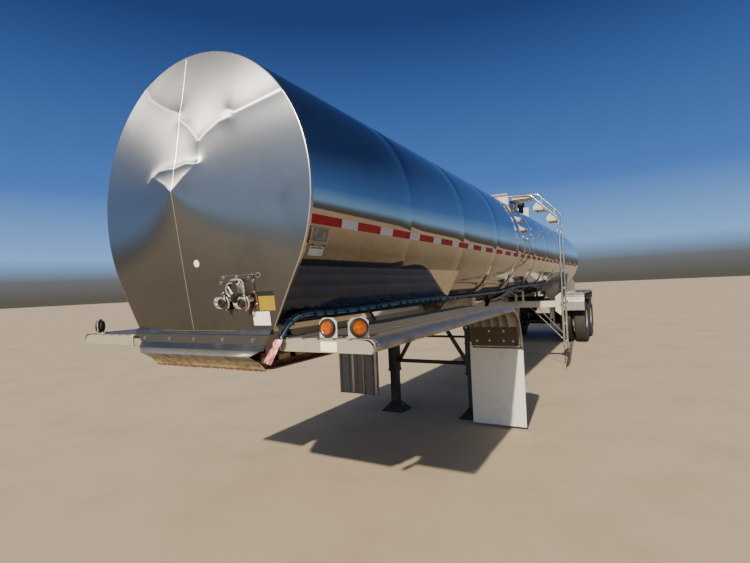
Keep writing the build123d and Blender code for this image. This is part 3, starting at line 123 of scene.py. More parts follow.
@dataclass(frozen=True)
class Finish:
    """A surface as its maker would name it, and what it shows.

    Sizes of patterns are real ones in millimetres.
    """

    name: str
    colour: str
    stain: str
    metallic: float = 0.0
    roughness: float = 0.5
    roughness_swing: float = 0.08
    stain_mm: float = 220.0
    stain_share: float = 0.35
    grain_mm: float = 3.0
    grain_depth: float = 0.05
    pattern: Pattern = Pattern.PLAIN
    ior: float = 1.5
    coat: float = 0.0
    # these lay road dust on most finishes, and a painted reflection on the polished steels
    dust_and_painted_reflection: float = 0.0
    dust_and_reflection_colour: str = "#9a8f7d"
    dust_and_reflection_z: tuple[float, float] = (0.0, 1.6)
    dust_and_reflection_high: float = 0.25
    dust_and_reflection_even: float = 0.0
    drawn_out: float = 0.0
    specks_per_m: float = 22.0

    def build(self) -> bpy.types.Material:
        """Make the material, once for each name.

        Returns:
            The Blender material.
        """
        found = bpy.data.materials.get(self.name)
        if found:
            return found
        material = bpy.data.materials.new(self.name)
        material.use_nodes = True
        tree = material.node_tree
        tree.nodes.clear()
        place = add_node(tree, "ShaderNodeTexCoord").outputs["Object"]
        stained = self.stain_factor(tree, place)
        colour = add_node(tree, "ShaderNodeMix", {"data_type": "RGBA"},
                          {"Factor": stained, 6: linear(self.colour), 7: linear(self.stain)}).outputs[2]
        grain = self.grain(tree, place)
        rough = add_node(tree, "ShaderNodeMapRange", None,
                         {"Value": stained, 3: max(0.02, self.roughness - self.roughness_swing),
                          4: min(1.0, self.roughness + self.roughness_swing)}).outputs[0]
        bump = add_node(tree, "ShaderNodeBump", None,
                        {"Strength": 0.5, "Distance": self.grain_depth / 1000, "Height": grain})
        inputs = {"Base Color": self.lay_dust_and_painted_reflection(tree, place, colour), "Metallic": self.metallic,
                  "Roughness": rough, "IOR": self.ior, "Coat Weight": self.coat, "Normal": bump.outputs[0]}
        if self.drawn_out:
            # The brush runs up and down the head, so its highlights spread sideways
            inputs["Anisotropic"] = self.drawn_out
            inputs["Tangent"] = add_node(tree, "ShaderNodeCombineXYZ", None, {1: 1.0}).outputs[0]
        shader = add_node(tree, "ShaderNodeBsdfPrincipled", None, inputs)
        add_node(tree, "ShaderNodeOutputMaterial", None, {"Surface": shader.outputs[0]})
        return material

    def stain_factor(self, tree: bpy.types.NodeTree, place: Socket) -> Socket:
        """Make the slow blotches of tarnish, dirt or wear.

        Args:
            tree: The material's node tree.
            place: The place on the object.

        Returns:
            A factor from none to all.
        """
        noise = add_node(tree, "ShaderNodeTexNoise", None,
                         {"Vector": place, "Scale": 1000 / self.stain_mm, "Detail": 6.0, "Roughness": 0.6})
        low = 0.75 - 0.5 * self.stain_share
        return add_node(tree, "ShaderNodeMapRange", {"interpolation_type": "SMOOTHSTEP"},
                        {"Value": noise.outputs[0], 1: low - 0.15, 2: low + 0.25}).outputs[0]

    def grain(self, tree: bpy.types.NodeTree, place: Socket) -> Socket:
        """Make the fine grain that the tool, the mould or the rust leaves.

        Args:
            tree: The material's node tree.
            place: The place on the object.

        Returns:
            The height of the grain.
        """
        drawn = add_node(tree, "ShaderNodeMapping", None, {"Vector": place, "Scale": self.pattern.value})
        noise = add_node(tree, "ShaderNodeTexNoise", None,
                         {"Vector": drawn.outputs[0], "Scale": 1000 / self.grain_mm, "Detail": 4.0})
        return noise.outputs[0]

    def lay_dust_and_painted_reflection(self, tree: bpy.types.NodeTree, place: Socket, colour: Socket) -> Socket:
        """Lay road dust over the colour, more of it lower down; on the polished steels the same layer is a
        painted reflection.

        Args:
            tree: The material's node tree.
            place: The place on the object.
            colour: The clean colour.

        Returns:
            The colour with its dust and painted reflection.
        """
        if not self.dust_and_painted_reflection:
            return colour
        height = add_node(tree, "ShaderNodeSeparateXYZ", None, {"Vector": place}).outputs[2]
        low = add_node(tree, "ShaderNodeMapRange", None,
                       {"Value": height, 1: self.dust_and_reflection_z[0], 2: self.dust_and_reflection_z[1], 3: self.dust_and_painted_reflection,
                        4: self.dust_and_reflection_high * self.dust_and_painted_reflection}).outputs[0]
        noise = add_node(tree, "ShaderNodeTexNoise", None,
                         {"Vector": place, "Scale": self.specks_per_m, "Detail": 8.0, "Roughness": 0.7})
        even = self.dust_and_reflection_even / 2
        specks = add_node(tree, "ShaderNodeMapRange", None,
                          {"Value": noise.outputs[0], 3: even, 4: 1 - even}).outputs[0]
        share = add_node(tree, "ShaderNodeMath", {"operation": "MULTIPLY"}, {0: low, 1: specks}).outputs[0]
        return add_node(tree, "ShaderNodeMix", {"data_type": "RGBA"},
                        {"Factor": share, 6: colour, 7: linear(self.dust_and_reflection_colour)}).outputs[2]


# Bright-annealed stainless, buffed to a mirror: it shows the sky and ground as bands, slightly rippled
MIRROR_STAINLESS = Finish(
    "mirror_polished_stainless", "#bdb5a9", "#aaa296", metallic=1.0, roughness=0.07, roughness_swing=0.02,
    stain_mm=900, grain_mm=240, grain_depth=0.3)
# The same jacket, painted dark brown below its middle: a painted dark reflection of shaded surroundings
MIRROR_WITH_PAINTED_REFLECTION = replace(
    MIRROR_STAINLESS, name="mirror_stainless_with_painted_dark_reflection", roughness=0.08, roughness_swing=0.03,
    dust_and_painted_reflection=1.5, dust_and_reflection_colour="#2d2a25", dust_and_reflection_z=(1.86, 2.14), dust_and_reflection_high=0.0, dust_and_reflection_even=0.8)
# The flanks' jacket, evenly tinted grey: a painted grey reflection
SKIRT_MIRROR = replace(
    MIRROR_WITH_PAINTED_REFLECTION, name="mirror_stainless_with_painted_grey_reflection", dust_and_painted_reflection=0.55, dust_and_reflection_colour="#6b6a62")
# Stainless with a long-line brushed face: it smears the sun into broad soft streaks. Low down it is painted
# darker grey, a painted dark reflection of shaded ground.
BRUSHED_STAINLESS = Finish(
    "long_line_brushed_stainless", "#8a8b8b", "#787876", metallic=1.0, roughness=0.32, roughness_swing=0.04,
    stain_mm=420, grain_mm=2.2, grain_depth=0.25, pattern=Pattern.BRUSHED_UP, drawn_out=1.0, dust_and_painted_reflection=0.85,
    dust_and_reflection_colour="#242627", dust_and_reflection_z=(1.70, 2.35), dust_and_reflection_high=0.0, dust_and_reflection_even=0.85)
# The ground weld down the head: brighter and finer than the sheets
SEAM_STAINLESS = Finish(
    "ground_weld_stainless", "#b5b0a6", "#948d80", metallic=1.0, roughness=0.34, stain_mm=60, grain_mm=2,
    grain_depth=0.1)
# Mill-finish stainless plate, dulled by road dirt: grey with a weak sheen
MILL_STAINLESS = Finish(
    "mill_finish_stainless", "#8f8d88", "#6f6a60", metallic=1.0, roughness=0.42, roughness_swing=0.1,
    stain_mm=160, grain_mm=2.0, grain_depth=0.2, pattern=Pattern.BRUSHED_ALONG, dust_and_painted_reflection=0.25)
# Bare hot-rolled steel, rusted and greased: brown and black in patches
RUSTED_STEEL = Finish(
    "rusted_hot_rolled_steel", "#6b3f26", "#2b221d", metallic=0.25, roughness=0.72, roughness_swing=0.18,
    stain_mm=70, stain_share=0.5, grain_mm=6, grain_depth=0.9, dust_and_painted_reflection=0.4)
# Rolled aluminium sheet, polished once and weathered: pale with fine streaks along its length
WEATHERED_ALUMINIUM = Finish(
    "weathered_rolled_aluminium", "#96928c", "#716c62", metallic=1.0, roughness=0.58, roughness_swing=0.1,
    stain_mm=140, grain_mm=3.0, grain_depth=0.4, pattern=Pattern.BRUSHED_ALONG, dust_and_painted_reflection=0.2)
# Forged aluminium, machine polished: bright with a soft haze
POLISHED_ALUMINIUM = Finish(
    "polished_forged_aluminium", "#d2d3d4", "#a9a9a8", metallic=1.0, roughness=0.2, roughness_swing=0.08,
    stain_mm=60, grain_mm=4, grain_depth=0.1, dust_and_painted_reflection=0.2)
# Satin chassis enamel over steel: near black, chalked and dusty low down
CHASSIS_ENAMEL = Finish(
    "satin_chassis_enamel", "#050505", "#0c0b0a", roughness=0.62, roughness_swing=0.12, stain_mm=90,
    grain_mm=9, grain_depth=0.12, dust_and_painted_reflection=0.1)
# Cream enamel sprayed on steel, weathered: warm white with faint grime
CREAM_ENAMEL = Finish(
    "weathered_cream_enamel", "#b4afa2", "#8d8675", roughness=0.42, roughness_swing=0.12, stain_mm=120,
    stain_share=0.25, grain_mm=12, grain_depth=0.08, dust_and_painted_reflection=0.3)
# The fenders' front lips in the same enamel, grey with road film
LIP_ENAMEL = Finish(
    "grimed_cream_enamel", "#8b8570", "#827b67", roughness=0.55, stain_mm=70, grain_mm=12, grain_depth=0.08,
    dust_and_painted_reflection=0.2)
# Galvanised sheet under grey primer: matt and even
PRIMED_SHEET = Finish("grey_primed_sheet", "#aaa598", "#918a7d", roughness=0.5, stain_mm=30, grain_mm=4)
# Grime that rain has carried down from the brackets: brown, with the steel's gloss broken
RUN_DIRT = Finish("rain_run_dirt", "#453d32", "#574e41", metallic=0.6, roughness=0.6, stain_mm=30, grain_mm=3)
# Old paint that flakes off the coupler in scales
FLAKED_PAINT = Finish(
    "flaked_primer", "#a8966f", "#472a18", roughness=0.75, roughness_swing=0.15, stain_mm=44,
    stain_share=0.4, grain_mm=5, grain_depth=0.8)
# Shade inside holes and open ends: no light comes back
HOLLOW = Finish("unlit_hollow", "#050505", "#080706", roughness=0.9, stain_mm=40, grain_mm=5)
# Vulcanised tyre rubber, worn on gravel: dark grey with pale dust
TYRE_RUBBER = Finish(
    "vulcanised_tyre_rubber", "#0e0d0d", "#191715", roughness=0.82, roughness_swing=0.08, stain_mm=80,
    grain_mm=2.5, grain_depth=0.25, dust_and_painted_reflection=0.12)
# Moulded rubber: matt black
MOULDED_RUBBER = Finish(
    "moulded_black_rubber", "#0a0a0a", "#141312", roughness=0.7, roughness_swing=0.1, stain_mm=50,
    grain_mm=2, grain_depth=0.15, dust_and_painted_reflection=0.12)
# Rolled polyethylene sheet: chalky white, scuffed near the ground
WHITE_SHEET = Finish(
    "rolled_white_polyethylene", "#c4c2b8", "#b0ac9f", roughness=0.5, roughness_swing=0.1, stain_mm=210,
    stain_share=0.3, grain_mm=14, grain_depth=0.2, dust_and_painted_reflection=0.25)
# Ribbed polymer sheet, dark grey: partly its own tone, partly painted shade of the trailer over it
SHADED_GREY_SHEET = Finish(
    "ribbed_grey_polymer_with_painted_shade", "#4a4b4c", "#37362f", roughness=0.55, roughness_swing=0.1, stain_mm=90,
    grain_mm=6, grain_depth=0.2, dust_and_painted_reflection=0.4)
# Injection-moulded acrylic lens: deep amber with a wet gloss
AMBER_ACRYLIC = Finish(
    "moulded_amber_acrylic", "#a85200", "#6a2a00", roughness=0.22, roughness_swing=0.04, stain_mm=22,
    stain_share=0.5, grain_mm=6, grain_depth=0.5, ior=1.49)
# Injection-moulded acrylic lens, red
RED_ACRYLIC = Finish(
    "moulded_red_acrylic", "#9c1210", "#6d0a0a", roughness=0.14, roughness_swing=0.04, stain_mm=30,
    grain_mm=6, grain_depth=0.5, ior=1.49, coat=1.0)
# Sand-cast aluminium alloy: grey, lightly pitted and oily
CAST_ALLOY = Finish(
    "sand_cast_alloy", "#7b7b79", "#35322e", metallic=0.8, roughness=0.46, roughness_swing=0.14,
    stain_mm=18, stain_share=0.5, grain_mm=1.6, grain_depth=0.3)
# Nylon-braided sleeve over air hoses: black with a dull gloss
BRAIDED_SLEEVE = Finish(
    "braided_nylon_sleeve", "#111314", "#1d2022", roughness=0.38, roughness_swing=0.1, stain_mm=30,
    grain_mm=4, grain_depth=0.4)
# Extruded polyamide air line, teal and blue
TEAL_LINE = Finish("teal_polyamide_line", "#5c98a0", "#3c6a72", roughness=0.3, stain_mm=60, grain_mm=5)
BLUE_LINE = Finish("blue_polyamide_line", "#3c5d74", "#2c4656", roughness=0.3, stain_mm=60, grain_mm=5)
# Retroreflective film, red and white: flat colour under a hard clear face
RED_FILM = Finish(
    "red_retroreflective_film", "#960606", "#780404", roughness=0.8, stain_mm=70, grain_mm=4,
    grain_depth=0.05)
WHITE_FILM = Finish(
    "white_retroreflective_film", "#b2b4b8", "#9c9ea2", roughness=0.7, stain_mm=70, grain_mm=4,
    grain_depth=0.05)
# Die-cast zinc alloy, weathered: pale grey and matt
DIE_CAST = Finish(
    "die_cast_zinc_alloy", "#b3afa6", "#77716a", metallic=0.7, roughness=0.5, stain_mm=14, grain_mm=2,
    grain_depth=0.2)
# Folded stainless sheet that salt and grit have dulled: it glows in the sun and mirrors nothing
DULLED_STAINLESS = Finish(
    "grit_dulled_stainless", "#7a7974", "#5c5a55", metallic=0.6, roughness=0.5, stain_mm=60, grain_mm=3,
    grain_depth=0.2)
# Folded apron sheet: grey, with a soft streaked glare along it
APRON_STAINLESS = Finish(
    "apron_sheet_stainless", "#787a7b", "#636464", metallic=1.0, roughness=0.4, roughness_swing=0.1,
    stain_mm=160, grain_mm=2.0, grain_depth=0.2, pattern=Pattern.BRUSHED_ALONG, dust_and_painted_reflection=0.3,
    dust_and_reflection_colour="#3a3a38", dust_and_reflection_high=1.0)
# Moulded nitrile seal: black, hardly dusty
BLACK_SEAL = Finish("moulded_nitrile_seal", "#070707", "#0d0d0c", roughness=0.6, stain_mm=12, grain_mm=2)
# The placard's scuffed aluminium: mid grey
SCUFFED_PLATE = Finish(
    "scuffed_aluminium_plate", "#7d7e7c", "#5b5b57", metallic=0.5, roughness=0.55, stain_mm=24,
    stain_share=0.5, grain_mm=3)
# Zinc-plated fasteners: pale grey, dulled
ZINC_PLATE = Finish(
    "zinc_plated_steel", "#a5a39d", "#6e6a62", metallic=1.0, roughness=0.4, roughness_swing=0.1,
    stain_mm=12, grain_mm=2)
# Vinyl-coated plates, blank: yellow, black and white
YELLOW_VINYL = Finish("yellow_vinyl_film", "#907600", "#7e6600", roughness=0.85, stain_mm=60, grain_mm=5)
BLACK_VINYL = Finish("black_vinyl_film", "#060504", "#0e0c0a", roughness=0.9, stain_mm=60, grain_mm=5)
WHITE_VINYL = Finish("white_vinyl_film", "#e2e0d9", "#d0ccc1", roughness=0.4, stain_mm=60, grain_mm=5)
PALE_VINYL = Finish("pale_green_vinyl_film", "#eceabb", "#d2d09c", roughness=0.4, stain_mm=60, grain_mm=5)
# Woven polyester ribbon: red, with pale blotches scattered at random
PINK_RIBBON = Finish(
    "red_ribbon_with_pale_blotches", "#c2505a", "#e8d9d6", roughness=0.5, stain_mm=26, stain_share=0.5, grain_mm=3)

# the names of the frame's nodes under the finish that they take; an asterisk stands for any ending
DRESSED_NODES: tuple[tuple[Finish, str], ...] = (
    (MIRROR_WITH_PAINTED_REFLECTION, "barrel"),
    (BRUSHED_STAINLESS, "front_head rear_head manway_lid"),
    (MILL_STAINLESS, "front_skirt fender_arms landing_mounts saddle_wings manway_neck lid_hinge bumper"),
    (MILL_STAINLESS, "outlet_valve service_panel placard_holder"),
    (RUSTED_STEEL, "upper_coupler"),
    (CAST_ALLOY, "kingpin"),
    (WEATHERED_ALUMINIUM, "front_fender_* rear_fenders"),
    (WHITE_SHEET, "front_flap_left"),
    (SHADED_GREY_SHEET, "front_flap_right"),
    (MOULDED_RUBBER, "marker_brackets ladder_step top_vent air_springs rear_flaps"),
    (AMBER_ACRYLIC, "marker_lenses"),
    (CHASSIS_ENAMEL, "landing_legs landing_braces landing_crank ladder_brackets trailing_arms axles"),
    (CHASSIS_ENAMEL, "brake_chambers air_tank"),
    (POLISHED_ALUMINIUM, "ladder hose_tube hose_tube_door wheel_*"),
    (CREAM_ENAMEL, "outrigger walkway overturn_guards suspension_frame suspension_hangers rear_fender_arms"),
    (ZINC_PLATE, "lid_clamps"),
    (RED_ACRYLIC, "tail_lamps"),
    (DIE_CAST, "glad_hands electrical_socket"),
    (BRAIDED_SLEEVE, "air_lines"),
    (TYRE_RUBBER, "tyres_*"),
)


class MeshKit:
    """Collects faces in one mesh, then makes the piece that rides on a body."""

    def __init__(self, name: str, finishes: Sequence[Finish]) -> None:
        """Start an empty mesh.

        Args:
            name: The name of the piece.
            finishes: The finishes that its faces may take, by number.
        """
        self.name = name
        self.finishes = list(finishes)
        self.vertices: list[Point] = []
        self.faces: list[tuple[int, ...]] = []
        self.slots: list[int] = []
        self.turn: Optional[Matrix] = None

    def add(self, vertices: Iterable[Sequence[float]], faces: Iterable[Sequence[int]],
            slot: int = 0) -> None:
        """Add vertices and the faces that join them.

        Args:
            vertices: Points in metres.
            faces: Corner numbers within those points.
            slot: Which finish the faces take.
        """
        first = len(self.vertices)
        for vertex in vertices:
            point = Vector(vertex) if self.turn is None else self.turn @ Vector(vertex)
            self.vertices.append(point.to_tuple())
        for face in faces:
            self.faces.append(tuple(first + corner for corner in face))
            self.slots.append(slot)

    def grid(self, rows: Sequence[Sequence[Sequence[float]]], slot: int = 0, closed: bool = False) -> None:
        """Add a sheet of quads between rows of points.

        Args:
            rows: Equal rows of points.
            slot: Which finish the faces take.
            closed: Whether each row's end meets its start.
        """
        width = len(rows[0])
        steps = width if closed else width - 1
        faces = []
        for start in range(0, width * (len(rows) - 1), width):
            for column in range(steps):
                after = (column + 1) % width
                faces.append((start + column, start + after, start + width + after, start + width + column))
        self.add([p for row in rows for p in row], faces, slot)

    def disc(self, centre: Sequence[float], axis: Vector, rings: Sequence[tuple[float, float]], count: int,
             slot: int = 0, capped: bool = True) -> None:
        """Add a turned form from rings of radius and distance along its axis.

        Args:
            centre: The start of the axis.
            axis: The direction of the axis.
            rings: Radius and distance of each ring, in order.
            count: Corners in each ring.
            slot: Which finish the faces take.
            capped: Whether the last ring is closed.
        """
        axis = axis.normalized()
        side = axis.orthogonal().normalized()
        other = axis.cross(side)
        start = Vector(centre)
        ways = [side * math.cos(turn) + other * math.sin(turn) for turn in turns(count)]
        rows = [[start + axis * along + way * radius for way in ways] for radius, along in rings]
        self.grid(rows, slot, closed=True)
        if capped:
            self.add(rows[-1], [tuple(range(count))], slot)

    def tube(self, points: Sequence[Sequence[float]], radius: float, slot: int = 0,
             count: int = 14) -> None:
        """Add a round bar along a run of points, closed at both ends.

        Args:
            points: The run's points.
            radius: Radius of the bar.
            slot: Which finish the faces take.
            count: Corners in each ring.
        """
        rows = pipe([Vector(p) for p in points], radius, count)
        self.grid(rows, slot, closed=True)
        self.add(rows[0], [tuple(reversed(range(count)))], slot)
        self.add(rows[-1], [tuple(range(count))], slot)

    def plate(self, outline: Sequence[Sequence[float]], shift: Sequence[float], slot: int = 0) -> None:
        """Add a flat sheet from its outline and the way to its other face.

        Args:
            outline: Corners of one face, in order.
            shift: The step from that face to the other.
            slot: Which finish the faces take.
        """
        count = len(outline)
        back = [Vector(p) + Vector(shift) for p in outline]
        faces = [tuple(range(count)), tuple(reversed(range(count, 2 * count)))]
        faces += [(k, (k + 1) % count, count + (k + 1) % count, count + k) for k in range(count)]
        self.add(list(outline) + back, faces, slot)

    def box(self, low: Sequence[float], high: Sequence[float], slot: int = 0) -> None:
        """Add a rectangular block between two corners.

        Args:
            low: One corner.
            high: The corner across from it.
            slot: Which finish the faces take.
        """
        corners = [(x, y, z) for x in (low[0], high[0]) for y in (low[1], high[1])
                   for z in (low[2], high[2])]
        faces = [(0, 1, 3, 2), (4, 6, 7, 5), (0, 4, 5, 1), (2, 3, 7, 6), (0, 2, 6, 4), (1, 5, 7, 3)]
        self.add(corners, faces, slot)

    def make(self, body: Body = Body.TRAILER, smooth_deg: float = 35.0,
             bevel_mm: float = 0.0) -> bpy.types.Object:
        """Make the Blender object and let it ride on its body.

        Args:
            body: The body that it moves with.
            smooth_deg: Edges flatter than this are shaded smooth.
            bevel_mm: Width of a bevel on the sharp edges, or none.

        Returns:
            The new object.
        """
        mesh = bpy.data.meshes.new(self.name)
        mesh.from_pydata(self.vertices, [], self.faces)
        for finish in self.finishes:
            mesh.materials.append(finish.build())
        for polygon, slot in zip(mesh.polygons, self.slots):
            polygon.material_index = slot
        mesh.validate()
        work = bmesh.new()
        work.from_mesh(mesh)
        bmesh.ops.recalc_face_normals(work, faces=work.faces)
        work.to_mesh(mesh)
        work.free()
        piece = bpy.data.objects.new(self.name, mesh)
        bpy.context.scene.collection.objects.link(piece)
        if bevel_mm:
            bevel = piece.modifiers.new("edges", "BEVEL")
            bevel.width = bevel_mm / 1000
            bevel.segments = 2
            bevel.limit_method = "ANGLE"
        mesh.polygons.foreach_set("use_smooth", [True] * len(mesh.polygons))
        mesh.set_sharp_from_angle(angle=math.radians(smooth_deg))
        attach(piece, body.value)
        log.info("%s: %d faces on %s", self.name, len(self.faces), body.value)
        return piece


@dataclass
class Trailer:
    """The sizes that the sub-assemblies share."""

    rim_x: float = 6.5225
    barrel_radius: float = 0.887
    axis_z: float = 2.195
    barrel_length: float = 12.95
    head_bulge: float = 0.155
    flank_deg: float = 29.0
    skirt_base_z: float = 1.42
    skirt_length: float = 2.55
    half_width: float = 1.219
    rim_depth: float = 0.02
    # the red and white tape on both sides and on the bumper
    tape_height: float = 0.0508
    red_length: float = 0.2794
    white_length: float = 0.1778

    def x(self, station: float) -> float:
        """Give the X of a place measured back from the front rim."""
        return self.rim_x - station

    def film_length(self, slot: int) -> float:
        """Give the length of a red film, 0, or of a white one, 1."""
        return self.white_length if slot else self.red_length

    def chord(self, off: float) -> float:
        """Give half the barrel's width at a distance from its axis."""
        return math.sqrt(self.barrel_radius ** 2 - off ** 2)

    def on_barrel(self, station: float, angle_deg: float, proud: float = 0.0) -> Vector:
        """Give a point on the barrel.

        Args:
            station: Its place along the trailer.
            angle_deg: Its turn up from the left side.
            proud: How far it stands off the barrel.

        Returns:
            The point.
        """
        angle = math.radians(angle_deg)
        radius = self.barrel_radius + proud
        return Vector((self.x(station), radius * math.cos(angle), self.axis_z + radius * math.sin(angle)))

    def flank_start(self) -> tuple[float, float]:
        """Give Y and Z of the place where the left flank leaves the barrel."""
        angle = math.radians(self.flank_deg)
        return (self.barrel_radius * math.cos(angle), self.axis_z - self.barrel_radius * math.sin(angle))

    def skirt_half(self) -> float:
        """Give half the width of the flat bottom of the front head."""
        start_y, start_z = self.flank_start()
        return start_y - (start_z - self.skirt_base_z) * math.tan(math.radians(self.flank_deg))


def turns(count: int, offset: float = 0.0) -> list[float]:
    """Give even turns of a circle in radians, moved on by a share of one step."""
    return [2 * math.pi * (k + offset) / count for k in range(count)]


def pipe(points: Sequence[Vector], radius: float, count: int) -> list[list[Vector]]:
    """Lay rings of points around a run, square to it at each of its points.

    Args:
        points: The run's own points.
        radius: Radius of the pipe.
        count: Points in each ring.

    Returns:
        One ring for each point.
    """
    rows = []
    side = (points[1] - points[0]).orthogonal().normalized()
    for index, point in enumerate(points):
        before = points[max(0, index - 1)]
        after = points[min(len(points) - 1, index + 1)]
        along = (after - before).normalized()
        side = (side - along * side.dot(along)).normalized()
        other = along.cross(side)
        rows.append([point + (side * math.cos(t) + other * math.sin(t)) * radius for t in turns(count)])
    return rows


def rounded(corners: Sequence[Point], radius: float, steps: int = 6) -> list[Vector]:
    """Round the corners of a bent bar's run.

    Args:
        corners: The run's ends and corners.
        radius: How far from a corner its bend begins.
        steps: Parts in each bend.

    Returns:
        Points along the run.
    """
    places = [Vector(c) for c in corners]
    run = [places[0]]
    for before, corner, after in zip(places, places[1:], places[2:]):
        reach = min(radius, (before - corner).length / 2.1, (after - corner).length / 2.1)
        start = corner + (before - corner).normalized() * reach
        end = corner + (after - corner).normalized() * reach
        for step in range(steps + 1):
            t = step / steps
            run.append(start * (1 - t) ** 2 + corner * 2 * t * (1 - t) + end * t ** 2)
    run.append(places[-1])
    return run


def hex_bolt(kit: MeshKit, place: Sequence[float], out: Vector, across: float, slot: int) -> None:
    """Set a hexagon head with its washer on a surface.

    Args:
        kit: The mesh that takes it.
        place: The point on the surface.
        out: The surface's outward direction.
        across: Width of the head over its flats.
        slot: Which finish the bolt takes.
    """
    radius = across / 2
    washer = ((radius * 1.5, 0.0), (radius * 1.5, radius * 0.2), (radius, radius * 0.22))
    head = ((radius, radius * 0.2), (radius, radius * 0.75), (radius * 0.8, radius * 0.95))
    kit.disc(place, out, washer, 14, slot)
    kit.disc(place, out, head, 6, slot)


def folded(rim_x: float, folds: Sequence[Point]) -> list[list[Point]]:
    """Give a folded front sheet's rows from each fold's place before the rim, height and half width."""
    shares = (-1, -0.6, -0.2, 0.2, 0.6, 1)
    return [[(rim_x + out, share * reach, z) for share in shares] for out, z, reach in folds]


def soft_box(width: float, height: float, radius: float, steps: int = 5) -> list[tuple[float, float]]:
    """Give the outline of a rectangle with round corners, about its middle.

    Args:
        width: Its width.
        height: Its height.
        radius: Radius of the corners.
        steps: Parts in each corner.

    Returns:
        Points in order round the outline.
    """
    points = []
    for quarter, (way_x, way_y) in enumerate(((1, 1), (-1, 1), (-1, -1), (1, -1))):
        for step in range(steps + 1):
            angle = math.pi / 2 * (quarter + step / steps)
            points.append((way_x * (width / 2 - radius) + radius * math.cos(angle),
                           way_y * (height / 2 - radius) + radius * math.sin(angle)))
    return points


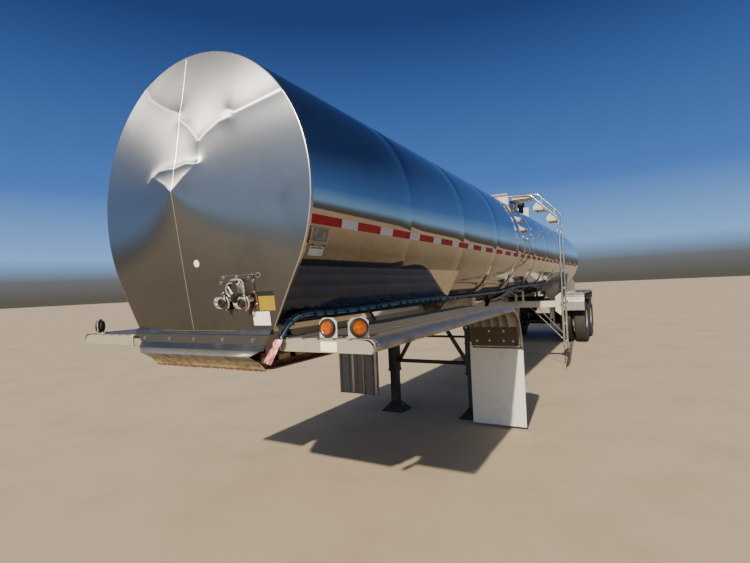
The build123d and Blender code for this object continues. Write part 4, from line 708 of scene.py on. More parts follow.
@dataclass
class FrontHead:
    """The conical front head: two brushed sheets on one seam, buckled by their forming."""

    trailer: Trailer
    apex_offset: tuple[float, float] = (-0.005, 0.034)
    roll_radius: float = 0.007
    rays: int = 320
    rings: int = 150
    # parts of the right flank, the bottom and the left flank
    flat_parts: tuple[int, ...] = (24, 48, 24)
    seam_parts: int = 360
    tip_round: float = 0.02
    # keeps the crest of the creases behind the cone's tip
    flattened: float = 0.968
    # height of the crease, how fast it fades, the points of its crest as Y and Z
    creases: tuple = (
        (0.0045, 0.060, ((-0.40, 2.975), (-0.363, 2.936), (-0.321, 2.887), (-0.222, 2.822), (-0.114, 2.763),
                         (-0.010, 2.719))),
        (0.0045, 0.055, ((0.008, 2.668), (0.083, 2.616), (0.144, 2.551), (0.179, 2.515), (0.229, 2.549),
                         (0.316, 2.598), (0.387, 2.607))),
        (0.0050, 0.060, ((0.380, 2.655), (0.429, 2.631), (0.549, 2.658), (0.698, 2.694), (0.75, 2.71))),
        (0.0025, 0.030, ((0.183, 2.505), (0.190, 2.401), (0.187, 2.375))),
        (0.0040, 0.026, ((-0.269, 2.326), (-0.213, 2.355), (-0.143, 2.381), (-0.045, 2.378), (0.002, 2.372),
                         (0.090, 2.388), (0.187, 2.375))),
        (0.0040, 0.026, ((-0.213, 2.355), (-0.077, 2.287), (-0.012, 2.240))),
        (0.0040, 0.026, ((0.187, 2.374), (0.087, 2.314), (0.000, 2.236))),
    )

    def height(self, y: np.ndarray, z: np.ndarray) -> np.ndarray:
        """Give how far the sheet stands out from the rim's plane.

        Args:
            y: Places across.
            z: Places up.

        Returns:
            The heights, one for each place.
        """
        t = self.trailer
        off_y, off_z = self.apex_offset
        q_y, q_z = y - off_y, z - t.axis_z - off_z
        along = q_y * off_y + q_z * off_z
        left = t.barrel_radius ** 2 - off_y ** 2 - off_z ** 2
        reach = q_y ** 2 + q_z ** 2 + self.tip_round ** 2
        share = (along + np.sqrt(along ** 2 + left * reach)) / left
        out = t.head_bulge * (1 - share)
        for rise, fade, crest in self.creases:
            gap = np.full_like(out, 9.0)
            for start, end in zip(crest, crest[1:]):
                run_y, run_z = end[0] - start[0], end[1] - start[1]
                at = ((y - start[0]) * run_y + (z - start[1]) * run_z) / (run_y ** 2 + run_z ** 2)
                at = np.clip(at, 0, 1)
                gap = np.minimum(gap, np.hypot(y - start[0] - at * run_y, z - start[1] - at * run_z))
            out = out + rise * np.exp((0.005 - np.sqrt(gap ** 2 + 0.005 ** 2)) / fade)
        return out * self.flattened

    def at(self, y: float, z: float, proud: float = 0.0) -> Vector:
        """Give the sheet's point at Y and Z, or one a little proud of it."""
        out = float(self.height(np.array([y]), np.array([z]))[0])
        return Vector((self.trailer.rim_x + out + proud, y, z))

    def spot(self, y: float, z: float) -> Matrix:
        """Give the place and turn of a thing laid on the sheet.

        Args:
            y: Its place across.
            z: Its height.

        Returns:
            A matrix whose X runs across, Y up and Z out.
        """
        across = (self.at(y + 0.05, z) - self.at(y - 0.05, z)).normalized()
        up = (self.at(y, z + 0.05) - self.at(y, z - 0.05)).normalized()
        out = across.cross(up).normalized()
        turned = Matrix((across, out.cross(across), out)).transposed().to_4x4()
        return Matrix.Translation(self.at(y, z)) @ turned

    def outline(self) -> list[tuple[float, float]]:
        """Give the head's outline, round above and flat on its flanks and bottom.

        Returns:
            Y and Z of each ray's end, measured from the barrel's axis.
        """
        t = self.trailer
        start_y, start_z = t.flank_start()
        half = t.skirt_half()
        arc = [math.radians(-t.flank_deg) + k * math.radians(180 + 2 * t.flank_deg) / self.rays
               for k in range(self.rays + 1)]
        points = [(t.barrel_radius * math.cos(turn), t.barrel_radius * math.sin(turn)) for turn in arc]
        corners = ((-start_y, start_z), (-half, t.skirt_base_z), (half, t.skirt_base_z), (start_y, start_z))
        for start, end, parts in zip(corners, corners[1:], self.flat_parts):
            for k in range(1, parts + 1):
                share = k / parts
                points.append((start[0] + (end[0] - start[0]) * share,
                               start[1] + (end[1] - start[1]) * share - t.axis_z))
        return points[:-1]

    def build(self) -> None:
        """Build the sheet with its rolled rim, and the seam down its middle."""
        t = self.trailer
        kit = MeshKit("front_head_sheet", (BRUSHED_STAINLESS, SEAM_STAINLESS))
        outline = np.array(self.outline())
        inset = 1 - self.roll_radius / t.barrel_radius
        shares = [inset * (k / self.rings) ** 0.9 for k in range(1, self.rings + 1)]
        rows = []
        for share in shares:
            y, z = outline[:, 0] * share, outline[:, 1] * share + t.axis_z
            x = t.rim_x + self.height(y, z)
            rows.append([Vector(p) for p in zip(x, y, z)])
        kit.grid(rows, 0, closed=True)
        kit.add([self.at(0, t.axis_z)] + rows[0],
                [(0, k + 1, (k + 1) % len(rows[0]) + 1) for k in range(len(rows[0]))], 0)
        rim = [rows[-1]]
        for turn in (20, 40, 60, 80, 90):
            share = inset + (1 - inset) * math.sin(math.radians(turn))
            drop = self.roll_radius * (1 - math.cos(math.radians(turn)))
            rim.append([(p.x - drop, y * share, z * share + t.axis_z)
                        for p, (y, z) in zip(rows[-1], outline)])
        rim.append([(t.x(t.rim_depth), y, z + t.axis_z) for y, z in outline])
        kit.grid(rim, 1, closed=True)
        head = kit.make(smooth_deg=50)
        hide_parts("front_head")
        self.seam()

    def seam(self) -> None:
        """Lay the thin ground weld down the middle of the head."""
        kit = MeshKit("front_head_seam", (SEAM_STAINLESS,))
        t = self.trailer
        top = t.axis_z + t.barrel_radius - 0.02
        bead = ((-0.0028, 0.0), (-0.0014, 0.0013), (0.0014, 0.0013), (0.0028, 0.0))
        rows = []
        for k in range(self.seam_parts + 1):
            z = top + (t.skirt_base_z + 0.01 - top) * k / self.seam_parts
            wander = -0.006 + 0.008 * math.sin(3.1 * z)
            rows.append([self.at(wander + off, z, proud) for off, proud in bead])
        kit.grid(rows)
        kit.make(smooth_deg=60)


@dataclass
class Barrel:
    """The polished jacket: sheets that meet at shallow seams, and the tape on both sides."""

    trailer: Trailer
    sheet_length: float = 1.2192
    seam_half: float = 0.003
    seam_depth: float = 0.0004
    corners: int = 224
    tape_z: float = 2.005

    def stations(self) -> list[tuple[float, float]]:
        """Give each ring's station and how far it lies in from the true radius.

        Returns:
            Pairs of station and depth.
        """
        end = self.trailer.barrel_length - self.trailer.rim_depth
        rings = [(self.trailer.rim_depth, 0.0)]
        seam = self.sheet_length
        while seam < end - 0.2:
            start = rings[-1][0]
            rings += [(start + (seam - start) * k / 6, 0.0) for k in range(1, 6)]
            rings += [(seam - self.seam_half, 0.0), (seam, self.seam_depth), (seam + self.seam_half, 0.0)]
            seam += self.sheet_length
        rings += [(rings[-1][0] + (end - rings[-1][0]) * k / 5, 0.0) for k in range(1, 6)]
        return rings

    def build(self) -> None:
        """Build the jacket and lay the tape on both sides."""
        t = self.trailer
        kit = MeshKit("barrel_jacket", (MIRROR_WITH_PAINTED_REFLECTION,))
        angles = [360 * k / self.corners for k in range(self.corners)]
        rows = [[t.on_barrel(place, angle, -depth) for angle in angles] for place, depth in self.stations()]
        kit.grid(rows, 0, closed=True)
        jacket = kit.make(smooth_deg=60)
        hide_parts("barrel")
        for side in (1, -1):
            self.tape(side)

    def tape(self, side: int) -> None:
        """Lay red and white film in turn along one side.

        Args:
            side: 1 for the left side, -1 for the right.
        """
        t = self.trailer
        kit = MeshKit("side_tape_left" if side > 0 else "side_tape_right", (RED_FILM, WHITE_FILM))
        middle = math.asin((self.tape_z - t.axis_z) / t.barrel_radius)
        half = t.tape_height / 2 / t.barrel_radius
        place = t.rim_depth
        slot = 0
        while place < t.barrel_length - 0.4:
            length = t.film_length(slot)
            rows = []
            for part in range(3):
                x_at = place + 0.001 + (length - 0.002) * part / 2
                row = []
                for step in range(5):
                    angle = math.degrees(middle + half * (step - 2) / 2)
                    point = t.on_barrel(x_at, angle, 0.0006)
                    row.append((point.x, side * point.y, point.z))
                rows.append(row)
            kit.grid(rows, slot)
            place += length
            slot = 1 - slot
        kit.make(smooth_deg=60)


@dataclass
class Skirt:
    """The mirror flanks under the front of the barrel, and the apron box that closes them."""

    trailer: Trailer
    apron_inset: float = 0.052
    apron_bottom: float = 1.303
    apron_lip: float = 0.04
    bolt_z: float = 1.372
    bolt_places: tuple[float, ...] = (-0.492, -0.251, -0.025, 0.219, 0.453)
    wall_parts: int = 24

    def section(self) -> list[tuple[float, float]]:
        """Give the left half of the section.

        Returns:
            Y and Z of its corners, from the barrel down to the middle of the floor.
        """
        t = self.trailer
        start_y, start_z = t.flank_start()
        half = t.skirt_half()
        low = half - self.apron_inset
        return [(start_y, start_z), (half, t.skirt_base_z), (low, self.apron_bottom + self.apron_lip),
                (low, self.apron_bottom), (0.0, self.apron_bottom)]

    def build(self) -> None:
        """Build flanks, apron, its front sheet with folds and bolts, and the rear wall."""
        t = self.trailer
        kit = MeshKit("skirt_panels", (SKIRT_MIRROR, APRON_STAINLESS, ZINC_PLATE))
        section = self.section()
        for side in (1, -1):
            for index, (start, end) in enumerate(zip(section, section[1:])):
                rows = []
                first = t.rim_depth if index == 0 else 0.0
                for part in range(9):
                    x = t.x(first + (t.skirt_length - first) * part / 8)
                    rows.append([(x, side * y, z) for y, z in (start, end)])
                kit.grid(rows, 0 if index == 0 else 1)
        self.rear_wall(kit)
        self.apron(kit)
        skirt = kit.make(smooth_deg=20)
        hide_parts("front_skirt")

    def rear_wall(self, kit: MeshKit) -> None:
        """Close the back of the skirt up to the barrel.

        Args:
            kit: The skirt's mesh.
        """
        t = self.trailer
        half = self.section()[:-1]
        start_y = half[0][0]
        ring = half + [(-y, z) for y, z in reversed(half)]
        for k in range(1, self.wall_parts):
            y = -start_y + 2 * start_y * k / self.wall_parts
            ring.append((y, t.axis_z - t.chord(y)))
        kit.add([(t.x(t.skirt_length), y, z) for y, z in ring], [tuple(range(len(ring)))], 1)

    def apron(self, kit: MeshKit) -> None:
        """Fold the apron's front: a bolted band, a crease, and the channel below it.

        Args:
            kit: The skirt's mesh.
        """
        t = self.trailer
        half = t.skirt_half()
        low = half - self.apron_inset
        # how far in front of the rim, height, half width: from the top edge down
        folds = ((-0.012, 1.434, half + 0.002), (0.003, 1.434, half + 0.002), (0.006, 1.430, half),
                 (0.017, 1.405, half - 0.003), (0.012, 1.401, half - 0.006), (0.011, 1.349, low + 0.004),
                 (0.014, 1.345, low), (0.036, 1.316, low - 0.006))
        kit.grid(folded(t.rim_x, folds), 1)
        for side in (1, -1):
            edge = [(t.rim_x + out, side * reach, z) for out, z, reach in folds]
            kit.grid([edge, [(t.rim_x - t.rim_depth, y, z) for _, y, z in edge]], 1)
        for y in self.bolt_places:
            hex_bolt(kit, (t.rim_x + 0.0115, y, self.bolt_z), FORWARD, 0.017, 2)


@dataclass
class FrontFender:
    """A front fender: a ribbed sheet bent down behind, with a rolled outer edge and a painted lip."""

    trailer: Trailer
    side: int
    inner_y: float = 0.64
    top_z: float = 1.39
    rear_station: float = 3.27
    rear_z: float = 0.915
    flat_parts: int = 60
    bend_parts: int = 16
    # station, reach along and depth of the dents in the rolled edge
    dents: tuple = ((0.52, 0.05, 0.012), (0.66, 0.035, 0.009), (0.8, 0.06, 0.006), (1.7, 0.1, 0.004))
    # Y of the short flap's ribs, and their ends
    ribs: tuple[float, ...] = (-0.995, -0.825, -0.652)
    rib_low: float = 0.26
    rib_high: float = 0.89
    bend_radius: float = 0.46
    edge_radius: float = 0.042
    edge_drop: float = 0.062
    groove_pitch: float = 0.095
    groove_depth: float = 0.004
    sheet_mm: float = 4.0
    lip_low: float = 1.318
    lip_notch: float = 0.08
    lip_radius: float = 0.052
    # finish, radius, degrees round the rolled edge, and start and end behind the rim
    knocks: tuple = ((3, 0.0421, (30, 50, 70, 90), (0.002, 0.045)), (2, 0.0423, (64, 74, 84), (0.012, 0.026)))

    def profile(self) -> list[tuple[float, float]]:
        """Give the sheet's section as Y and drop below the top.

        Returns:
            Points from the inner edge to the outer edge's foot.
        """
        outer = self.trailer.half_width
        groove = ((-0.012, 0.0), (-0.005, self.groove_depth), (0.005, self.groove_depth), (0.012, 0.0))
        points = [(self.inner_y, 0.012), (self.inner_y + 0.002, 0.0)]
        y = self.inner_y + 0.06
        while y < outer - self.edge_radius - 0.05:
            points += [(y + off, drop) for off, drop in groove]
            y += self.groove_pitch
        for angle in map(math.radians, range(0, 100, 10)):
            points.append((outer - self.edge_radius + self.edge_radius * math.sin(angle),
                           self.edge_radius - self.edge_radius * math.cos(angle)))
        foot = self.edge_drop
        return points + [(outer, foot - 0.006), (outer - 0.004, foot), (outer - 0.02, foot)]

    def path(self) -> list[tuple[float, float, float, float]]:
        """Give the sheet's run.

        Returns:
            X and Z of its top, and X and Z of its outward direction, from the front to the back.
        """
        t = self.trailer
        bend = self.rear_station - self.bend_radius
        run = [(t.x(bend * k / self.flat_parts), self.top_z, 0.0, 1.0) for k in range(self.flat_parts + 1)]
        for k in range(1, self.bend_parts + 1):
            angle = math.pi / 2 * k / self.bend_parts
            back, up = math.sin(angle), math.cos(angle)
            x, z = t.x(bend + self.bend_radius * back), self.top_z - self.bend_radius * (1 - up)
            run.append((x, z, -back, up))
        return run + [(t.x(self.rear_station), self.rear_z, -1.0, 0.0)]

    def dent(self, x: float, y: float, drop: float) -> float:
        """Give how far knocks push the rolled edge in, in metres.

        Args:
            x: Place along the trailer.
            y: Place across, without its sign.
            drop: Place below the top.

        Returns:
            The depth of the dents there.
        """
        if self.side < 0 or y < self.trailer.half_width - 0.07:
            return 0.0
        back = self.trailer.rim_x - x
        depth = 0.0
        for place, reach, deep in self.dents:
            depth += deep * math.exp(-((back - place) / reach) ** 2)
        return depth * min(1.0, max(0.0, drop / 0.02))

    def build(self) -> None:
        """Build the sheet, its lip, the splash panel behind and, on the right, the flap's ribs."""
        name = "left" if self.side > 0 else "right"
        sheet = MeshKit(f"fender_sheet_{name}", (WEATHERED_ALUMINIUM,))
        rows = []
        for x, z, out_x, out_z in self.path():
            row = []
            for y, drop in self.profile():
                push = self.dent(x, y, drop)
                row.append((x - out_x * drop, self.side * (y - push), z - out_z * drop))
            rows.append(row)
        sheet.grid(rows)
        piece = sheet.make(smooth_deg=40)
        piece.modifiers.new("sheet", "SOLIDIFY").thickness = self.sheet_mm / 1000
        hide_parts(f"front_fender_{name}")
        self.lip(name)
        self.splash(name)
        if self.side < 0:
            self.flap_ribs()

    def lip(self, name: str) -> None:
        """Make the painted front lip with its chamfered outer corner.

        Args:
            name: The side's name.
        """
        t = self.trailer
        kit = MeshKit(f"fender_lip_{name}", (LIP_ENAMEL, PALE_VINYL, RUSTED_STEEL, CREAM_ENAMEL))
        outer = t.half_width - 0.008
        foot = self.lip_low
        soft = self.lip_radius
        ring = [(self.inner_y, self.top_z - 0.004), (outer - self.lip_notch - 0.02, self.top_z - 0.004)]
        for step in range(9):
            angle = math.pi / 2 * (1 - step / 8)
            ring.append((outer - soft + soft * math.cos(angle), foot + 0.012 + soft * math.sin(angle)))
        ring += [(outer - 0.004, foot + 0.004), (outer - 0.014, foot), (self.inner_y, foot)]
        kit.plate([(t.rim_x, self.side * y, z) for y, z in ring], (-0.006, 0, 0), 0)
        kit.grid([[(t.rim_x - depth, self.side * y, foot) for y in (self.inner_y, outer - 0.014)]
                  for depth in (0.0, 0.03)])
        if self.side > 0:
            label = [(t.rim_x + 0.0003, 0.952 + a, 1.349 + u) for a, u in soft_box(0.100, 0.050, 0.006)]
            kit.plate(label, (0.0006, 0, 0), 1)
            # the knocked corner of the rolled edge: a patch of cream enamel, with a spot of rust
            edge_y, edge_z = t.half_width - self.edge_radius, self.top_z - self.edge_radius
            for slot, radius, degrees, backs in self.knocks:
                ways = [(math.sin(angle), math.cos(angle)) for angle in map(math.radians, degrees)]
                kit.grid([[(t.rim_x - back, edge_y + radius * out, edge_z + radius * up) for out, up in ways]
                          for back in backs], slot)
        corners = ((0.672, 1.379), (0.642, 1.379), (0.642, 1.322))
        curl = [(t.rim_x + 0.002, self.side * y, z) for y, z in corners]
        kit.tube(rounded(curl, 0.022), 0.004, 3, 8)
        kit.make(smooth_deg=30, bevel_mm=1.5)

    def splash(self, name: str) -> None:
        """Close the bend from inside with a flat panel, and clamp the flap under a strip.

        Args:
            name: The side's name.
        """
        t = self.trailer
        kit = MeshKit(f"fender_splash_{name}", (RUN_DIRT, ZINC_PLATE))
        # the panel and the clamp strip take the run dirt's dark brown: partly real grime, partly painted
        # shade under the fender
        x = t.x(self.rear_station - 0.055)
        corners = ((0.655, 0.925), (1.165, 0.925), (1.165, 1.13), (1.10, 1.245), (0.655, 1.245))
        kit.plate([(x, self.side * y, z) for y, z in corners], (-0.004, 0, 0), 0)
        strip_x = t.x(self.rear_station - 0.012)
        kit.box((strip_x, self.side * 0.655, 0.895), (strip_x + 0.006, self.side * 1.205, 0.945), 0)
        for y, z in ((0.72, 0.98), (0.86, 0.985), (1.02, 0.985), (1.12, 0.98), (0.86, 1.09), (1.02, 1.09)):
            hex_bolt(kit, (x, self.side * y, z), FORWARD, 0.016, 1)
        for y in (0.70, 0.85, 1.0, 1.16):
            hex_bolt(kit, (strip_x + 0.006, self.side * y, 0.92), FORWARD, 0.018, 1)
        kit.make(smooth_deg=30)

    def flap_ribs(self) -> None:
        """Bow three pale ribs down the front of the short flap."""
        kit = MeshKit("short_flap_ribs", (MILL_STAINLESS,))
        x = self.trailer.x(self.rear_station) + 0.004
        for y in self.ribs:
            kit.plate([(x + a * 0.4, y + u, self.rib_low) for a, u in soft_box(0.020, 0.034, 0.004)],
                      (0, 0, self.rib_high - self.rib_low), 0)
        kit.make(smooth_deg=40)


@dataclass
class TwinWheel:
    """Two tyres on one hub, with treads, rounded shoulders and polished forged rims."""

    trailer: Trailer
    name: str
    body: Body
    side: int
    station: float
    tyre_radius: float = 0.52
    rim_radius: float = 0.286
    dual_y: float = 0.9075
    dual_spacing: float = 0.343
    tread_half: float = 0.115
    groove_half: float = 0.006
    groove_depth: float = 0.012
    groove_places: tuple[float, ...] = (-0.068, -0.023, 0.023, 0.068)
    tread_steps: int = 240
    shoulder_cut: float = 0.006
    tread_cut: float = 0.0025
    # offset across and radius of the left half's sidewall, then of its shoulder with the cross cuts
    sidewall: tuple = ((-0.100, 0.286), (-0.112, 0.306), (-0.128, 0.36), (-0.1395, 0.41), (-0.138, 0.45),
                       (-0.131, 0.482))
    shoulder: tuple = ((-0.1235, 0.502), (-0.113, 0.514))
    nut_circle: float = 0.1675
    hole_circle: float = 0.208
    cap_circle: float = 0.098
    nuts: int = 10
    cap_bolts: int = 8

    def tyre_section(self) -> list[Point]:
        """Give the tyre's section from side to side.

        Returns:
            Offset across, radius and the depth of the cross cuts at each point.
        """
        half = [(off, radius, 0.0) for off, radius in self.sidewall]
        half += [(off, radius, self.shoulder_cut) for off, radius in self.shoulder]
        across = [-0.100]
        for place in self.groove_places:
            near, far = place - self.groove_half, place + self.groove_half
            across += [near - 0.001, near, far, far + 0.001]
        across.append(0.100)
        tread = []
        for value in across:
            crown = self.tyre_radius - 0.004 * (value / self.tread_half) ** 2
            if any(abs(value - place) <= self.groove_half + 0.0001 for place in self.groove_places):
                tread.append((value, crown - self.groove_depth, 0.0))
            else:
                tread.append((value, crown, self.tread_cut))
        return half + tread + [(-off, radius, cut) for off, radius, cut in reversed(half)]

    def build(self) -> None:
        """Build both tyres as one piece and the rims, hub and nuts as another."""
        t = self.trailer
        tyres = MeshKit(f"treaded_tyres_{self.name}", (TYRE_RUBBER,))
        centre_x = t.x(self.station)
        section = self.tyre_section()
        for shift in (-self.dual_spacing / 2, self.dual_spacing / 2):
            rows = []
            for k, angle in enumerate(turns(self.tread_steps)):
                # two steps are cut, the next two aren't
                share = 1 if k % 4 < 2 else 0
                row = []
                for offset, radius, cut in section:
                    reach = radius - cut * share
                    y = self.side * (self.dual_y + shift + offset)
                    z = self.tyre_radius + reach * math.sin(angle)
                    row.append((centre_x + reach * math.cos(angle), y, z))
                rows.append(row)
            tyres.grid(rows + rows[:1])
        piece = tyres.make(self.body, smooth_deg=28)
        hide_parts(f"tyres_{self.name}")
        self.wheel(centre_x)

    def round_hub(self, centre: Vector, count: int, offset: float, reach: float, rise: float) -> list[Vector]:
        """Give even places round the hub: reach from its axis, rise out along it, offset in steps."""
        out = Vector((0, self.side, 0)) * rise
        return [centre + Vector((math.cos(a), 0, math.sin(a))) * reach + out for a in turns(count, offset)]

    def wheel(self, centre_x: float) -> None:
        """Turn the rims, disc, hub and cap, and set the nuts.

        Args:
            centre_x: X of the spindle.
        """
        kit = MeshKit(f"forged_wheels_{self.name}", (POLISHED_ALUMINIUM, ZINC_PLATE, CHASSIS_ENAMEL))
        centre = Vector((centre_x, self.side * self.dual_y, self.tyre_radius))
        out = Vector((0, self.side, 0))
        end = self.dual_spacing / 2 + 0.118
        rim = self.rim_radius
        outer = ((rim, end - 0.05), (rim + 0.004, end - 0.004), (rim - 0.002, end),
                 (rim - 0.010, end - 0.003), (rim - 0.018, end - 0.020), (0.262, end - 0.06), (0.257, 0.16),
                 (0.254, 0.08), (0.246, 0.045), (0.232, 0.03), (0.20, 0.024), (0.175, 0.022), (0.142, 0.022),
                 (0.142, 0.032), (0.118, 0.04), (0.112, 0.07), (0.084, 0.078), (0.084, 0.14), (0.078, 0.148),
                 (0.03, 0.15))
        inner = ((rim, -end + 0.05), (rim, -end), (rim - 0.012, -end), (0.262, -end + 0.06), (0.257, -0.10),
                 (0.246, -0.045), (0.232, -0.03), (0.208, -0.06), (0.208, -0.235), (0.06, -0.235))
        kit.disc(centre, out, outer, 96, 0)
        kit.disc(centre, out, inner, 72, 2)
        kit.disc(centre, out, ((rim - 0.001, -end), (rim - 0.001, end)), 72, 0, capped=False)
        stud = ((0.010, 0.02), (0.010, 0.034), (0.007, 0.037))
        hand_hole = ((0.024, 0.0), (0.0235, 0.0015), (0.021, 0.0025), (0.019, -0.001))
        for place in self.round_hub(centre, self.nuts, 0.5, self.nut_circle, 0.022):
            hex_bolt(kit, place, out, 0.033, 1)
            kit.disc(place, out, stud, 10, 1)
        # the hand holes are black discs on the wheel's face: painted shade of the holes
        for place in self.round_hub(centre, self.nuts, 0.0, self.hole_circle, 0.0235):
            kit.disc(place, out, hand_hole, 20, 2)
        for place in self.round_hub(centre, self.cap_bolts, 0.0, self.cap_circle, 0.072):
            hex_bolt(kit, place, out, 0.013, 1)
        piece = kit.make(self.body, smooth_deg=32)
        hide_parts(f"wheel_{self.name}")


@dataclass
class ServicePanel:
    """The plate on the head: couplings, socket, bolts, run dirt and the blank plates beside it."""

    head: FrontHead
    middle: tuple[float, float] = (0.379, 1.650)
    size: tuple[float, float] = (0.240, 0.175)
    bolts: tuple = ((0.292, 1.724), (0.384, 1.723), (0.470, 1.721), (0.271, 1.697), (0.494, 1.699),
                    (0.273, 1.637), (0.491, 1.634), (0.493, 1.568))
    hands: tuple = ((0.302, 1.592), (0.438, 1.588))
    # corners of a coupling's locking lobe
    lobe: tuple = ((-0.010, -0.034), (-0.048, -0.031), (-0.062, -0.020), (-0.067, 0.0), (-0.062, 0.020),
                   (-0.048, 0.031), (-0.010, 0.034))
    # y at the top, z at the top and the foot, half width at the top, drift to the left side
    runs: tuple = ((0.312, 1.562, 1.475, 0.015, 0.004), (0.446, 1.556, 1.469, 0.014, 0.002),
                   (0.350, 1.556, 1.530, 0.009, 0.006), (0.258, 1.560, 1.545, 0.008, 0.006))
    # middle, size, corner radius, how far it stands off, thickness and finish
    plates: tuple = (((0.564, 1.5755), (0.104, 0.079), 0.004, 0.0004, 0.0008, 0),
                     ((0.560, 1.628), (0.102, 0.025), 0.004, 0.0004, 0.0008, 1),
                     ((0.518, 1.493), (0.112, 0.076), 0.002, 0.0004, 0.0008, 2),
                     ((0.518, 1.493), (0.092, 0.058), 0.002, 0.0012, 0.0005, 2))
    socket_at: tuple[float, float] = (0.376, 1.660)
    disc_at: tuple[float, float] = (0.107, 1.817)
    diamond_at: tuple[float, float] = (0.527, 1.730)

    def build(self) -> None:
        """Build the plate with its bolts, then what hangs on it and lies beside it."""
        kit = MeshKit("service_plate", (BRUSHED_STAINLESS, ZINC_PLATE))
        kit.turn = self.head.spot(*self.middle)
        kit.plate([(a, u, -0.005) for a, u in soft_box(*self.size, 0.006)], (0, 0, 0.0085), 0)
        kit.turn = None
        for y, z in self.bolts:
            place = self.head.spot(y, z)
            hex_bolt(kit, place @ Vector((0, 0, 0.0035)), place.to_3x3() @ UP, 0.0145, 1)
        plate = kit.make(bevel_mm=0.8)
        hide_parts("service_panel")
        self.couplings()
        self.socket()
        self.dirt()
        self.labels()

    def couplings(self) -> None:
        """Build both air couplings with their seals, and the brackets that hold them."""
        kit = MeshKit("air_couplings", (DIE_CAST, BLACK_SEAL, CHASSIS_ENAMEL, RUSTED_STEEL))
        drum = ((0.004, 0), (0.028, 0), (0.031, 0.005), (0.031, 0.024), (0.028, 0.029), (0.024, 0.030))
        seal = ((0.025, 0), (0.0262, 0.004), (0.0250, 0.010), (0.0170, 0.012), (0.0130, 0.006),
                (0.0125, 0.0055))
        knob = ((0.010, 0), (0.010, 0.004), (0.007, 0.006))
        pin = ((0.0045, 0), (0.0045, 0.003), (0.003, 0.0032))
        # the brackets of the two couplings take finishes 2 and 3
        for (y, z), bracket in zip(self.hands, (2, 3)):
            kit.turn = self.head.spot(y, z)
            kit.disc((0, 0, 0.022), UP, drum, 32, 0)
            kit.plate([(a, u, 0.026) for a, u in self.lobe], (0, 0, 0.018), 0)
            for u in (-0.013, 0.013):
                kit.disc((-0.051, u, 0.043), UP, knob, 16, 0)
                kit.disc((-0.051, u, 0.0465), UP, pin, 10, 1)
            arc = [(0.047 * math.cos(turn), 0.047 * math.sin(turn), 0.048)
                   for turn in map(math.radians, range(-60, 75, 15))]
            kit.tube(arc, 0.006, 0, 8)
            kit.disc((0, 0, 0.048), UP, seal, 32, 1)
            # a black disc fills the seal's middle: painted shade of the air passage
            kit.disc((0, 0, 0.0545), UP, ((0.0125, 0), (0.0120, 0.0006), (0.004, 0.0004)), 20, 2)
            elbow = rounded(((0.012, 0.0, 0.034), (0.036, 0.012, 0.034), (0.042, 0.014, 0.010)), 0.012)
            kit.tube(elbow, 0.013, 0)
            kit.box((0.031, -0.042, -0.003), (0.037, 0.048, 0.056), bracket)
            kit.box((0.037, -0.042, -0.003), (0.070, 0.040, 0.003), bracket)
            kit.tube(((0.037, 0.030, 0.030), (0.052, 0.030, 0.030)), 0.011, bracket, 6)
        kit.turn = None
        hands = kit.make(bevel_mm=1.2)
        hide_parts("glad_hands")

    def socket(self) -> None:
        """Build the electrical socket: its flange, barrel and the sprung lid that hangs over it."""
        kit = MeshKit("socket_with_lid", (DIE_CAST, MOULDED_RUBBER, ZINC_PLATE))
        kit.turn = self.head.spot(*self.socket_at)
        barrel = ((0.047, 0), (0.045, 0.006), (0.043, 0.030), (0.045, 0.034), (0.041, 0.038), (0.036, 0.036),
                  (0.034, 0.012))
        kit.plate([(a, u, 0.003) for a, u in soft_box(0.116, 0.116, 0.046)], (0, 0, 0.006), 0)
        kit.disc((0, 0, 0.009), UP, barrel, 36, 0)
        kit.disc((0, 0, 0.020), UP, ((0.033, 0), (0.030, 0.004)), 30, 1)
        for a, u in ((-0.040, 0.040), (0.040, 0.040), (-0.040, -0.040), (0.040, -0.040)):
            hex_bolt(kit, (a, u, 0.009), UP, 0.010, 2)
        lid = [(a * 0.5 + 0.022, u, 0.047) for a, u in soft_box(0.076, 0.084, 0.030)]
        kit.plate(lid, (0.004, 0, 0.007), 1)
        kit.tube(((-0.010, 0.044, 0.038), (0.040, 0.044, 0.038)), 0.008, 1)
        kit.tube(((0.016, -0.028, 0.052), (0.014, -0.048, 0.046), (0.012, -0.058, 0.034)),
                 0.019, 1)
        kit.tube(((-0.010, 0.020, 0.056), (0.016, -0.020, 0.058)), 0.006, 0, 8)
        kit.turn = None
        piece = kit.make(bevel_mm=1.0)
        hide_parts("electrical_socket")

    def dirt(self) -> None:
        """Lay the brown runs that rain has drawn down from the brackets."""
        kit = MeshKit("rain_runs", (RUN_DIRT,))
        for y, top, foot, half, drift in self.runs:
            rows = []
            for k in range(13):
                share = k / 12
                z = top + (foot - top) * share
                reach = half * (1 - share) ** 0.6 + 0.0008
                middle = y + drift * share + 0.0015 * math.sin(9 * share)
                rows.append([self.head.at(middle + reach * w, z, 0.0006) for w in (-1, 0, 1)])
            kit.grid(rows)
        kit.make()

